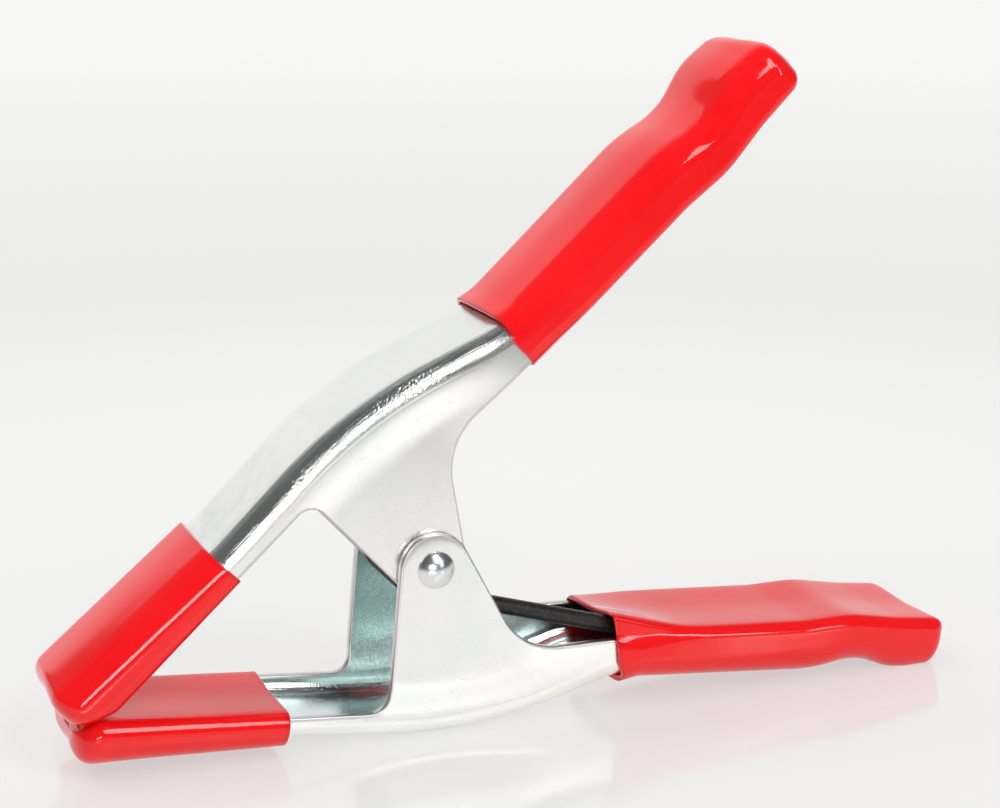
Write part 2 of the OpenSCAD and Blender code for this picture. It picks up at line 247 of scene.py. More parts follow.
@dataclass(frozen=True)
class Placement:
    """Turn about Y, in degrees, and the pivot's place, from arm to row coordinates.

    A half turn about u comes first for the lower arm.
    """

    turn: float
    half_turn: bool = False

    @staticmethod
    def of(side: Side) -> Placement:
        """Where that arm lies on the bench with the jaws closed."""
        lower = side is Side.LOWER
        return Placement(SIZES.bench_tilt - (0.0 if lower else SIZES.closed_angle), lower)

    def points(self, p: np.ndarray) -> np.ndarray:
        """Places points: x cos q + z sin q and z cos q - x sin q for a turn of q.

        Args:
            p: Points (..., 3) in arm coordinates.

        Returns:
            The points in the row frame, in millimetres and the same layout.
        """
        x, y, z = p[..., 0], p[..., 1], p[..., 2]
        if self.half_turn:
            y, z = -y, -z
        c, s = math.cos(math.radians(self.turn)), math.sin(math.radians(self.turn))
        return np.stack([x * c + z * s, y, z * c - x * s], axis=-1) + np.array(PIVOT) / MM


@dataclass(frozen=True)
class ArmProfile:
    """Side view that both arms share: the back of the web and the free edge of the flanges.

    Attributes:
        back_step, edge_step: Largest turn between two points of an arc, in degrees.
        waist: Corners of the handle's back as u, height off its straight line and fillet.
        handle_edge: Corners of the handle's free edge as u, v, fillet, and the share of the
            arms' difference in depth that the corner takes.
        widening: Where along u the channel grows from the jaw's width to the handle's.
        joggle_depth: Depths below the back between which the flank is set sideways.
        joggle_in, joggle_out: Where along u the ears' set comes in from the jaw's side and
            from the handle's side.
    """

    sizes: ClampSizes = SIZES
    back_step: float = 1.0
    edge_step: float = 3.0
    bulge_u: float = -26.0
    bulge_r: float = 30.0
    shoulder_u: float = 14.1
    shoulder_r: float = 104.0
    shoulder_slope: float = -0.4
    neck_r: float = 33.0
    handle_u: float = 52.0
    handle_drop: float = 14.0
    handle_slope: float = -0.026
    waist: tuple[tuple[float, float, float], ...] = (
        (99.5, 0.0, 38.0),
        (110.5, -2.7, 22.0),
        (122.5, 0.0, 26.0),
    )
    end_drop: float = 0.8
    edge_rise: float = 0.03
    edge_u: float = -18.0
    tip_r: float = 6.0
    ear_lean: float = 1.8
    ear_foot_r: float = 4.0
    ear_slant: float = 55.5
    ear_side_v: float = 18.6
    ear_side_r: float = 16.0
    handle_edge: tuple[tuple[float, float, float, float], ...] = (
        (60.0, 15.2, 40.0, 0.4),
        (95.0, 13.6, 30.0, 0.2),
        (107.0, 12.1, 30.0, 0.2),
        (120.0, 13.0, 30.0, 0.0),
    )
    end_edge_v: float = 13.1
    widening: Span = (-10.0, 40.0)
    joggle_depth: Span = (5.5, 14.0)
    joggle_in: Span = (-22.0, -10.0)
    joggle_out: Span = (46.0, 20.0)

    def handle_line(self, u: float) -> float:
        """Straight line along the back of the handle."""
        return self.sizes.back_v - self.handle_drop + self.handle_slope * (u - self.handle_u)

    @cached_property
    def neck_u(self) -> float:
        """Where the falling shoulder meets the handle's line."""
        rise = self.handle_drop - self.shoulder_slope * self.shoulder_u
        return (rise + self.handle_slope * self.handle_u) / (self.handle_slope - self.shoulder_slope)

    @cached_property
    def back_path(self) -> np.ndarray:
        """Jaw, bulge, shoulder, neck, waist and flared end as straights joined by arcs.

        Returns:
            Points (u, v), one row each.
        """
        s, line = self.sizes, self.handle_line
        corners = [
            (-s.jaw_reach, s.jaw_back_v, 0),
            (self.bulge_u, s.back_v, self.bulge_r),
            (self.shoulder_u, s.back_v, self.shoulder_r),
            (self.neck_u, line(self.neck_u), self.neck_r),
            *((u, line(u) + off, radius) for u, off, radius in self.waist),
            (s.handle_reach, line(s.handle_reach) - self.end_drop, 0),
        ]
        return rounded_path(corners, self.back_step)

    def back(self, u: np.ndarray) -> np.ndarray:
        """Height of the web's outer surface: the back path, or the jaw's line past its tip.

        Args:
            u: Places along the arm.

        Returns:
            Distance from the pivot line at each of them.
        """
        s = self.sizes
        slope = (s.jaw_back_v - s.back_v) / (-s.jaw_reach - self.bulge_u)
        past_tip = s.jaw_back_v + (u + s.jaw_reach) * slope
        return np.where(u < -s.jaw_reach, past_tip, np.interp(u, *self.back_path.T))

    def back_normal(self, u: np.ndarray, reach: float = 0.5) -> np.ndarray:
        """Unit normal (u, v) of the web, out of the back: (-slope, 1) scaled to length one.

        Args:
            u: Places along the arm.
            reach: How far to each side the slope is taken.

        Returns:
            Normals (..., 2).
        """
        slope = (self.back(u + reach) - self.back(u - reach)) / (2.0 * reach)
        return unit(np.stack([-slope, np.ones_like(slope)], axis=-1))

    @cached_property
    def meet_angle(self) -> float:
        """Angle, in radians, between an arm and the plane in which the closed jaws meet."""
        return math.radians(self.sizes.closed_angle / 2.0)

    def jaw_edge(self, side: Side, u: np.ndarray) -> np.ndarray:
        """Free edge of a jaw's flanges: a line that draws away from the other jaw to the tip."""
        return side.edge_v + self.edge_rise * (self.edge_u - u)

    def edge_path(self, side: Side) -> np.ndarray:
        """Free edge of flanges and ears, from the jaw's tip to the handle's end.

        The jaw ends in a bevel along the plane where the jaws meet. The ear is a strip as wide
        as the round about the pivot, which leans on one side and slants on the other, and each
        of its lines touches that round.

        Args:
            side: The arm.

        Returns:
            Points (u, v), one row each.
        """
        s = self.sizes
        drop = Side.LOWER.edge_v - side.edge_v
        meet_slope = math.tan(self.meet_angle)
        lap = (s.vinyl + s.vinyl_gap + s.jaw_gap / 2.0) / math.cos(self.meet_angle)
        tip_u = (lap - side.edge_v - self.edge_rise * self.edge_u) / (meet_slope - self.edge_rise)
        lean, slant = math.radians(self.ear_lean), math.radians(self.ear_slant)
        jaw_u = -s.ear_r * math.tan(math.pi / 4.0 + lean / 2.0)
        foot = jaw_u + (self.jaw_edge(side, 0.0) + s.ear_r) * math.tan(lean)
        foot_u = foot / (1.0 + self.edge_rise * math.tan(lean))
        side_u, side_v = s.ear_r * math.tan(slant / 2.0), self.ear_side_v - drop
        corners = [
            (-s.jaw_reach, s.jaw_reach * meet_slope + lap, 0),
            (tip_u, self.jaw_edge(side, tip_u), self.tip_r),
            (foot_u, self.jaw_edge(side, foot_u), self.ear_foot_r),
            (jaw_u, -s.ear_r, s.ear_r),
            (side_u, -s.ear_r, s.ear_r),
            (side_u + (side_v + s.ear_r) / math.tan(slant), side_v, self.ear_side_r),
            *((u, v - share * drop, radius) for u, v, radius, share in self.handle_edge),
            (s.handle_reach, self.end_edge_v, 0),
        ]
        return rounded_path(corners, self.edge_step)

    def handle_edge_at(self, side: Side, u: np.ndarray) -> np.ndarray:
        """Free edge of a handle's flanges at u, read off the edge path."""
        return np.interp(u, *self.edge_path(side).T)

    def half_width(self, u: np.ndarray) -> np.ndarray:
        """Half the channel's width, which grows smoothly from jaw to handle."""
        return mix(self.sizes.jaw_w, self.sizes.handle_w, eased(u, *self.widening)) / 2.0

    def joggle(self, u: np.ndarray, v: np.ndarray) -> np.ndarray:
        """Share of the ears' sideways set: smoothsteps in depth below the web and along u."""
        set_in = eased(self.back(u) - v, *self.joggle_depth)
        return set_in * eased(u, *self.joggle_in) * eased(u, *self.joggle_out)


PROFILE = ArmProfile()


# ---------------------------------------------------------------- meshes


def added(name: str, data: bpy.types.ID) -> bpy.types.Object:
    """Puts new data into the scene.

    Args:
        name: Name of the object.
        data: Its mesh, lamp or camera.

    Returns:
        The new object, at the origin.
    """
    obj = bpy.data.objects.new(name, data)
    bpy.context.scene.collection.objects.link(obj)
    return obj


def ring_faces(rings: int, m: int) -> np.ndarray:
    """Quads between neighbouring closed rings, which face out of clockwise rings.

    Args:
        rings: Number of rings.
        m: Number of points in a ring.

    Returns:
        Point numbers, one row of four for each quad.
    """
    i, k = np.meshgrid(np.arange(rings - 1), np.arange(m), indexing="ij")
    a, b = i * m + k, i * m + (k + 1) % m
    return np.stack([a, a + m, b + m, b], axis=-1).reshape(-1, 4)


def strip_cap(start: int, m: int) -> np.ndarray:
    """Strip of quads across a ring in which point k faces point m - 1 - k.

    Args:
        start: Number of the ring's first point.
        m: Number of points in the ring.

    Returns:
        Point numbers, one row of four for each quad.
    """
    k = np.arange(m // 2 - 1)
    a, d = start + k, start + m - 1 - k
    return np.stack([a, a + 1, d - 1, d], axis=1)


@dataclass(frozen=True)
class Skin:
    """A grid of points that makes a closed surface, with what its material reads from it.

    Attributes:
        points: Rings of points, as an array of (rings, points in a ring, 3), in millimetres.
            The rings run clockwise seen from the first towards the last.
        marks: Attribute name to its value at each point, from 0 to 1, in the same layout.
        channel: Whether each ring goes round a channel, outside first.
        soft_caps: Whether the strips of quads that close both ends are shaded smooth.
    """

    points: np.ndarray
    marks: dict[str, np.ndarray] = field(default_factory=dict)
    channel: bool = False
    soft_caps: bool = False

    def _around(self, closed: np.ndarray) -> np.ndarray:
        """Run length round each ring. A channel's is zero at the middle of its web.

        Args:
            closed: The rings, with their first point repeated at their end.

        Returns:
            Lengths in millimetres, in the layout of the closed rings.
        """
        steps = np.linalg.norm(np.diff(closed, axis=1), axis=2)
        around = np.concatenate([np.zeros((len(steps), 1)), np.cumsum(steps, axis=1)], axis=1)
        if not self.channel:
            return around
        m = steps.shape[1]
        half, middle = m // 2, m // 4
        outside = around[:, :half] - around[:, middle, None]
        inside = around[:, half + middle, None] - around[:, half:m]
        return np.concatenate([outside, inside, outside[:, :1]], axis=1)

    def _uv(self) -> np.ndarray:
        """UV map of the side: U along the rings' middle line and V round each ring.

        Returns:
            One row (U, V) in metres for each corner of each quad between two rings.
        """
        closed = np.concatenate([self.points, self.points[:, :1]], axis=1)
        steps = np.linalg.norm(np.diff(closed, axis=0), axis=2).mean(axis=1)
        along = np.concatenate([[0.0], np.cumsum(steps)])[:, None]
        uv = np.stack(np.broadcast_arrays(along, self._around(closed)), axis=-1) * MM
        return np.stack([uv[:-1, :-1], uv[1:, :-1], uv[1:, 1:], uv[:-1, 1:]], axis=2).reshape(-1, 2)

    def build(self, name: str, place: Placement) -> bpy.types.Object:
        """Makes the mesh object, with its UV map and attributes.

        Args:
            name: Name of the object.
            place: Where arm coordinates lie in the row frame.

        Returns:
            The new object, at the origin.
        """
        rings, m, _ = self.points.shape
        side = ring_faces(rings, m)
        faces = np.concatenate([side, strip_cap(0, m), strip_cap((rings - 1) * m, m)[:, ::-1]])
        mesh = bpy.data.meshes.new(name)
        mesh.vertices.add(rings * m)
        mesh.vertices.foreach_set("co", (place.points(self.points) * MM).ravel())
        mesh.loops.add(faces.size)
        mesh.loops.foreach_set("vertex_index", faces.ravel())
        mesh.polygons.add(len(faces))
        mesh.polygons.foreach_set("loop_start", np.arange(0, faces.size, 4))
        mesh.polygons.foreach_set("loop_total", np.full(len(faces), 4))
        mesh.polygons.foreach_set("use_smooth", (np.arange(len(faces)) < len(side)) | self.soft_caps)
        uv = np.zeros((faces.size, 2), np.float32)
        uv[: side.size] = self._uv()
        mesh.uv_layers.new(name="skin").data.foreach_set("uv", uv.ravel())
        for label, values in self.marks.items():
            attribute = mesh.attributes.new(label, "FLOAT", "POINT")
            attribute.data.foreach_set("value", values.astype(np.float32).ravel())
        mesh.update(calc_edges=True)
        mesh.validate()
        return added(name, mesh)


def revolved(name: str, profile: np.ndarray, sides: int = 96) -> bpy.types.Object:
    """Turns a profile about the pivot's Y axis: (radius cos q, y, radius sin q) at angle q.

    Args:
        name: Name of the object.
        profile: Points (radius, y). The first and last have radius 0, where a fan of
            triangles closes the ends.
        sides: Number of points round it.

    Returns:
        The new object, at the origin.
    """
    q = np.linspace(0.0, 2.0 * math.pi, sides, endpoint=False)
    radius, y = profile[1:-1, :1], profile[1:-1, 1:]
    rings = np.stack(np.broadcast_arrays(radius * np.cos(q), y, radius * np.sin(q)), axis=-1)
    ends = np.array([[0.0, profile[0, 1], 0.0], [0.0, profile[-1, 1], 0.0]])
    k = np.arange(sides)
    after, tip, base = (k + 1) % sides, len(rings) * sides, (len(rings) - 1) * sides
    first_fan = np.stack([np.full(sides, tip), k, after], axis=1)
    last_fan = np.stack([np.full(sides, tip + 1), base + after, base + k], axis=1)
    faces = [*ring_faces(len(rings), sides).tolist(), *first_fan.tolist(), *last_fan.tolist()]
    vertices = Placement(SIZES.bench_tilt).points(np.concatenate([rings.reshape(-1, 3), ends])) * MM
    mesh = bpy.data.meshes.new(name)
    mesh.from_pydata(vertices.tolist(), [], faces)
    mesh.polygons.foreach_set("use_smooth", np.ones(len(mesh.polygons), bool))
    mesh.update()
    return added(name, mesh)


def cut(obj: bpy.types.Object, cutter: bpy.types.Object, sharp: float = 60.0) -> None:
    """Takes the cutter's solid out of an object for good, and removes the cutter.

    Args:
        obj: Object that is cut.
        cutter: Closed solid.
        sharp: Angle, in degrees, from which an edge stays sharp, as the bore's rim does.
    """
    modifier = obj.modifiers.new("bore", "BOOLEAN")
    modifier.object = cutter
    modifier.operation = "DIFFERENCE"
    modifier.solver = "EXACT"
    graph = bpy.context.evaluated_depsgraph_get()
    result = bpy.data.meshes.new_from_object(obj.evaluated_get(graph), depsgraph=graph)
    result.set_sharp_from_angle(angle=math.radians(sharp))
    obj.modifiers.clear()
    obj.data = result
    bpy.data.objects.remove(cutter)


# ---------------------------------------------------------------- shader building blocks


def opaque(colour: Colour) -> tuple[float, float, float, float]:
    """The colour with full alpha."""
    return (*colour, 1.0)


@dataclass(frozen=True)
class Wiring:
    """Adds nodes to one tree, each fed with sockets or constants, and gives their outputs."""

    tree: bpy.types.NodeTree

    def node(self, kind: str, inputs: dict | None = None, **settings: object) -> bpy.types.Node:
        """Adds a node, sets its properties, and fills its inputs with values or links.

        Args:
            kind: Blender's type name of the node.
            inputs: Input name or index to a constant, or to the socket that feeds it.
            settings: Properties of the node.

        Returns:
            The new node.
        """
        made = self.tree.nodes.new(kind)
        for key, value in settings.items():
            setattr(made, key, value)
        for key, value in (inputs or {}).items():
            if isinstance(value, bpy.types.NodeSocket):
                self.tree.links.new(value, made.inputs[key])
            else:
                made.inputs[key].default_value = value
        return made

    def feed(self, target: bpy.types.Node, **sockets: Socket) -> None:
        """Links sockets to a node's inputs, whose names have _ for each space."""
        for key, value in sockets.items():
            self.tree.links.new(value, target.inputs[key.replace("_", " ")])

    def place(self) -> Socket:
        """Object coordinates, in metres."""
        return self.node("ShaderNodeTexCoord").outputs["Object"]

    def skin(self) -> Socket:
        """The piece's own UV map, in metres along and round it."""
        return self.node("ShaderNodeUVMap", uv_map="skin").outputs["UV"]

    def mark(self, name: str) -> Socket:
        """One of the piece's attributes."""
        return self.node("ShaderNodeAttribute", attribute_name=name).outputs["Fac"]

    def effect(self, group: bpy.types.NodeTree, vector: Socket, **numbers: float) -> Outputs:
        """Places a shared effect on a vector, with its numbers."""
        return self.node("ShaderNodeGroup", {"Vector": vector, **numbers}, node_tree=group).outputs

    def calc(self, operation: str, a: Socket | float, b: Socket | float) -> Socket:
        """One arithmetic node on a and b."""
        return self.node("ShaderNodeMath", {0: a, 1: b}, operation=operation).outputs[0]

    def product(self, a: Socket | float, b: Socket | float) -> Socket:
        """a times b."""
        return self.calc("MULTIPLY", a, b)

    def total(self, a: Socket | float, b: Socket | float) -> Socket:
        """a plus b."""
        return self.calc("ADD", a, b)

    def greater(self, a: Socket | float, b: Socket | float) -> Socket:
        """The greater of a and b."""
        return self.calc("MAXIMUM", a, b)

    def mixed(self, factor: Socket, a: Socket | tuple, b: Socket | tuple) -> Socket:
        """Colour between a and b."""
        inputs = {"Factor": factor, "A": a, "B": b}
        return self.node("ShaderNodeMix", inputs, data_type="RGBA").outputs["Result"]

    def between(self, factor: Socket, a: Socket, b: float) -> Socket:
        """Value between a and b."""
        inputs = {"Factor": factor, "A": a, "B": b}
        return self.node("ShaderNodeMix", inputs, data_type="FLOAT").outputs["Result"]

    def level(
        self, value: Socket, low: float, high: float, to_low: float = 0.0, to_high: float = 1.0
    ) -> Socket:
        """Maps a value from low..high to to_low..to_high with smooth ends."""
        inputs = {"Value": value, "From Min": low, "From Max": high, "To Min": to_low, "To Max": to_high}
        return self.node("ShaderNodeMapRange", inputs, interpolation_type="SMOOTHSTEP").outputs["Result"]

    def ramp(self, value: Socket, stops: Stops) -> Socket:
        """Colour ramp.

        Args:
            value: Socket that runs along the ramp.
            stops: Positions with their colours, two or more.

        Returns:
            The ramp's colour.
        """
        made = self.node("ShaderNodeValToRGB", {"Fac": value})
        elements = made.color_ramp.elements
        while len(elements) < len(stops):
            elements.new(0.5)
        for element, (position, colour) in zip(elements, stops):
            element.position = position
            element.color = opaque(colour)
        return made.outputs["Color"]

    def stretched(self, vector: Socket, factors: tuple[float, float, float]) -> Socket:
        """The vector times a factor for each axis."""
        inputs = {0: vector, 1: factors}
        return self.node("ShaderNodeVectorMath", inputs, operation="MULTIPLY").outputs[0]

    def noise(self, vector: Socket, scale: Socket | float, detail: float) -> Socket:
        """Noise about one half."""
        inputs = {"Vector": vector, "Scale": scale, "Detail": detail}
        return self.node("ShaderNodeTexNoise", inputs).outputs["Fac"]

    def grain(self, repeats: Span) -> Socket:
        """Noise on the piece's own UV map, with its repeats in a metre along and round it."""
        return self.noise(self.stretched(self.skin(), (*repeats, 1.0)), 1.0, 3.0)

    def bump(self, height: Socket, strength: float, distance: float, sunk: bool = False) -> Socket:
        """Normal of a surface with that height, where sunk turns hills to hollows."""
        inputs = {"Strength": strength, "Distance": distance, "Height": height}
        return self.node("ShaderNodeBump", inputs, invert=sunk).outputs["Normal"]


def new_group(name: str, numbers: list[str], results: list[str]) -> tuple[Wiring, Outputs, bpy.types.Node]:
    """Starts a shader node group that takes a vector and some numbers.

    Args:
        name: Name of the group.
        numbers: Names of its inputs after Vector.
        results: Names of its outputs, which are numbers.

    Returns:
        The group's wiring, its inputs' sockets, and its output node.
    """
    tree = bpy.data.node_groups.new(name, "ShaderNodeTree")
    tree.interface.new_socket("Vector", in_out="INPUT", socket_type="NodeSocketVector")
    for label in numbers:
        tree.interface.new_socket(label, in_out="INPUT", socket_type="NodeSocketFloat")
    for label in results:
        tree.interface.new_socket(label, in_out="OUTPUT", socket_type="NodeSocketFloat")
    return Wiring(tree), tree.nodes.new("NodeGroupInput").outputs, tree.nodes.new("NodeGroupOutput")


def new_material(name: str, **constants: object) -> tuple[bpy.types.Material, Wiring, bpy.types.Node]:
    """Starts a material with a Principled shader.

    Args:
        name: Name of the material.
        constants: The shader's constants, whose names have _ for each space.

    Returns:
        The material, its wiring and its shader.
    """
    material = bpy.data.materials.new(name)
    material.use_nodes = True
    shader = next(n for n in material.node_tree.nodes if n.type == "BSDF_PRINCIPLED")
    for key, value in constants.items():
        shader.inputs[key.replace("_", " ")].default_value = value
    return material, Wiring(material.node_tree), shader


class SharedEffects:
    """Shader groups that more than one finish uses, each built once.

    Attributes:
        scratch_ways: Direction of each layer of scratches, in radians, and how drawn out it is.
        scratch_cut, rim_cut: Ranges over which a scratch and a darkened rim come in.
        rim_break: How much noise breaks the rim's darkening up.
        mottle_finer: How many times finer the mottle is than the clouds.
    """

    scratch_ways: ClassVar[tuple[Span, ...]] = ((0.35, 14.0), (-0.6, 22.0), (1.25, 18.0))
    scratch_cut: ClassVar[Span] = (0.67, 0.74)
    rim_cut: ClassVar[Span] = (0.75, 1.1)
    rim_break: ClassVar[float] = 0.5
    mottle_finer: ClassVar[float] = 9.0

    def __init__(self) -> None:
        """Builds the groups."""
        self.scratches = self._scratches()
        self.clouds = self._clouds()
        self.rim_mask = self._rim_mask()

    def _scratches(self) -> bpy.types.NodeTree:
        """Fine scratches: three layers of noise, each drawn out one way and cut high.

        Returns:
            Group with the inputs Vector, Scale and Amount and the output Mask.
        """
        wiring, given, out = new_group("fine_scratches", ["Scale", "Amount"], ["Mask"])
        upright = (0.0, 0.0, 1.0)
        layers = []
        for turn, length in self.scratch_ways:
            inputs = {"Vector": given["Vector"], "Angle": turn, "Axis": upright}
            turned = wiring.node("ShaderNodeVectorRotate", inputs).outputs[0]
            grain = wiring.noise(wiring.stretched(turned, (1.0, length, length)), given["Scale"], 1.0)
            layers.append(wiring.level(grain, *self.scratch_cut))
        deepest = wiring.greater(wiring.greater(layers[0], layers[1]), layers[2])
        wiring.feed(out, Mask=wiring.product(deepest, given["Amount"]))
        return wiring.tree

    def _clouds(self) -> bpy.types.NodeTree:
        """Slow clouds and a finer mottle, each as a value about one half.

        Returns:
            Group with the inputs Vector and Scale and the outputs Value and Mottle.
        """
        wiring, given, out = new_group("clouds", ["Scale"], ["Value", "Mottle"])
        slow = wiring.noise(given["Vector"], given["Scale"], 2.0)
        fine = wiring.noise(given["Vector"], wiring.product(given["Scale"], self.mottle_finer), 4.0)
        wiring.feed(out, Value=slow, Mottle=fine)
        return wiring.tree

    def _rim_mask(self) -> bpy.types.NodeTree:
        """Darkening along the rims: the rim attribute, broken up by noise. On the zinc it is partly
        scuffing and partly painted shade along the sheared edges.

        Returns:
            Group with the inputs Vector and Scale and the output Mask.
        """
        wiring, given, out = new_group("rim_mask", ["Scale"], ["Mask"])
        broken = wiring.noise(given["Vector"], given["Scale"], 4.0)
        pushed = wiring.total(wiring.mark("rim"), wiring.product(broken, self.rim_break))
        wiring.feed(out, Mask=wiring.level(pushed, *self.rim_cut))
        return wiring.tree


# ---------------------------------------------------------------- finishes


@dataclass(frozen=True)
class ZincPlate:
    """Zinc-plated pressed sheet: clear passivation with slow clouds of tint, painted shade that
    makes it darker and bluer inside the channel, a rolled grain along the arm, drawn streaks and
    a hammered speckle where the bend was pressed, and sheared edges in a darker grey, partly
    scuffed and partly painted shade.

    Attributes:
        tints: Tints of the clouds, from cool over pale to warm.
        rolled, drawn: Repeats of the grain and of the streaks in a metre, along and across.
        pitted, struck: Repeats of the bends' fine grain and of the speckle in a metre.
        rolled_high, drawn_high, pitted_high: Their heights as shares of the relief, in which
            the struck speckle has height 1.
        relief: Strength of the relief, and its height in metres.
    """

    effects: SharedEffects
    tints: Stops = ((0.36, (0.87, 0.89, 0.88)), (0.50, (0.92, 0.92, 0.895)), (0.66, (0.92, 0.905, 0.85)))
    # Painted shade: the colour of the channel's inner faces, darker and bluer than the outside.
    inside: Colour = (0.75, 0.85, 0.84)
    # Sheared edges in a darker grey: partly scuffed steel, partly painted shade along the cut edges.
    sheared: Colour = (0.66, 0.66, 0.65)
    smooth_rough: float = 0.21
    dull_rough: float = 0.26
    bend_rough: float = 0.14
    sheared_rough: float = 0.32
    scratch_rough: float = 0.07
    cloud_scale: float = 30.0
    rim_scale: float = 900.0
    scratch_scale: float = 220.0
    rolled: Span = (40.0, 1500.0)
    drawn: Span = (30.0, 2400.0)
    pitted: float = 2000.0
    struck: float = 1900.0
    rolled_high: float = 0.012
    drawn_high: float = 0.80
    pitted_high: float = 0.30
    relief: Span = (1.0, 0.00016)

    def _height(self, wiring: Wiring, place: Socket, bend: Socket) -> Socket:
        """Relief: rolled grain everywhere, streaks along the arm and fine pits on the bends,
        and a strong speckle where the shoulder was struck.

        Args:
            wiring: The material's wiring.
            place: Object coordinates.
            bend: How far the surface lies in a bend.

        Returns:
            The height.
        """
        rolled = wiring.product(wiring.grain(self.rolled), self.rolled_high)
        streaks = wiring.product(wiring.grain(self.drawn), self.drawn_high)
        pits = wiring.product(wiring.noise(place, self.pitted, 2.0), self.pitted_high)
        speckle = wiring.product(wiring.noise(place, self.struck, 2.0), wiring.mark("hammer"))
        pressed = wiring.product(wiring.total(streaks, pits), bend)
        return wiring.total(wiring.total(rolled, pressed), speckle)

    def material(self) -> bpy.types.Material:
        """Builds the material.

        Returns:
            The new material.
        """
        made, wiring, shader = new_material("zinc_plate", Metallic=1.0)
        place, bend = wiring.place(), wiring.mark("bend")
        clouds = wiring.effect(self.effects.clouds, place, Scale=self.cloud_scale)
        rim_blend = wiring.effect(self.effects.rim_mask, place, Scale=self.rim_scale)["Mask"]
        scratch = wiring.effect(
            self.effects.scratches, wiring.skin(), Scale=self.scratch_scale, Amount=1.0
        )

        tint = wiring.ramp(clouds["Value"], self.tints)
        # Painted shade: the channel's inner faces are made darker and bluer.
        tint_with_inside_shade = wiring.mixed(wiring.mark("inner"), tint, opaque(self.inside))
        # Painted shade, with scuffing, turns the sheared edges along the rims a darker grey.
        colour = wiring.mixed(rim_blend, tint_with_inside_shade, opaque(self.sheared))

        mottle = wiring.level(clouds["Mottle"], *MOTTLE_RANGE, self.smooth_rough, self.dull_rough)
        pressed = wiring.between(bend, mottle, self.bend_rough)
        scored = wiring.total(pressed, wiring.product(scratch["Mask"], self.scratch_rough))
        roughness = wiring.between(rim_blend, scored, self.sheared_rough)

        normal = wiring.bump(self._height(wiring, place, bend), *self.relief)
        wiring.feed(shader, Base_Color=colour, Roughness=roughness, Normal=normal)
        return made


@dataclass(frozen=True)
class RivetSteel:
    """Bright rivet, scuffed in fine scratches by the press.

    Attributes:
        relief: Strength of the scratches' relief, and its depth in metres.
    """

    effects: SharedEffects
    colour: Colour = (0.74, 0.75, 0.76)
    smooth_rough: float = 0.20
    dull_rough: float = 0.25
    scratch_rough: float = 0.07
    scratch_scale: float = 900.0
    cloud_scale: float = 180.0
    relief: Span = (0.05, 0.0001)

    def material(self) -> bpy.types.Material:
        """Builds the material.

        Returns:
            The new material.
        """
        made, wiring, shader = new_material("rivet_steel", Metallic=1.0, Base_Color=opaque(self.colour))
        place = wiring.place()
        scratch = wiring.effect(self.effects.scratches, place, Scale=self.scratch_scale, Amount=1.0)["Mask"]
        clouds = wiring.effect(self.effects.clouds, place, Scale=self.cloud_scale)
        mottle = wiring.level(clouds["Mottle"], *MOTTLE_RANGE, self.smooth_rough, self.dull_rough)
        roughness = wiring.total(mottle, wiring.product(scratch, self.scratch_rough))
        wiring.feed(shader, Roughness=roughness, Normal=wiring.bump(scratch, *self.relief, sunk=True))
        return made


@dataclass(frozen=True)
class SpringWire:
    """Black oil-tempered wire, with pale rubbed scratches and a brown bloom.

    Attributes:
        tints: From the black to the bloom.
        drawn: Repeats of the drawing die's grain in a metre, along and round the wire.
        relief: Strength of that grain, and its height in metres.
    """

    effects: SharedEffects
    tints: Stops = ((0.42, (0.014, 0.014, 0.016)), (0.72, (0.045, 0.034, 0.028)))
    rubbed: Colour = (0.11, 0.11, 0.11)
    smooth_rough: float = 0.30
    dull_rough: float = 0.46
    cloud_scale: float = 120.0
    scratch_scale: float = 420.0
    scratch_amount: float = 0.6
    drawn: Span = (120.0, 3500.0)
    relief: Span = (0.3, 0.0001)

    def material(self) -> bpy.types.Material:
        """Builds the material.

        Returns:
            The new material.
        """
        made, wiring, shader = new_material("spring_wire", Metallic=0.35, Specular_IOR_Level=0.5)
        mottle = wiring.effect(self.effects.clouds, wiring.place(), Scale=self.cloud_scale)["Mottle"]
        scratch = wiring.effect(
            self.effects.scratches, wiring.skin(), Scale=self.scratch_scale, Amount=self.scratch_amount
        )
        colour = wiring.mixed(scratch["Mask"], wiring.ramp(mottle, self.tints), opaque(self.rubbed))
        roughness = wiring.level(mottle, *MOTTLE_RANGE, self.smooth_rough, self.dull_rough)
        normal = wiring.bump(wiring.grain(self.drawn), *self.relief)
        wiring.feed(shader, Base_Color=colour, Roughness=roughness, Normal=normal)
        return made


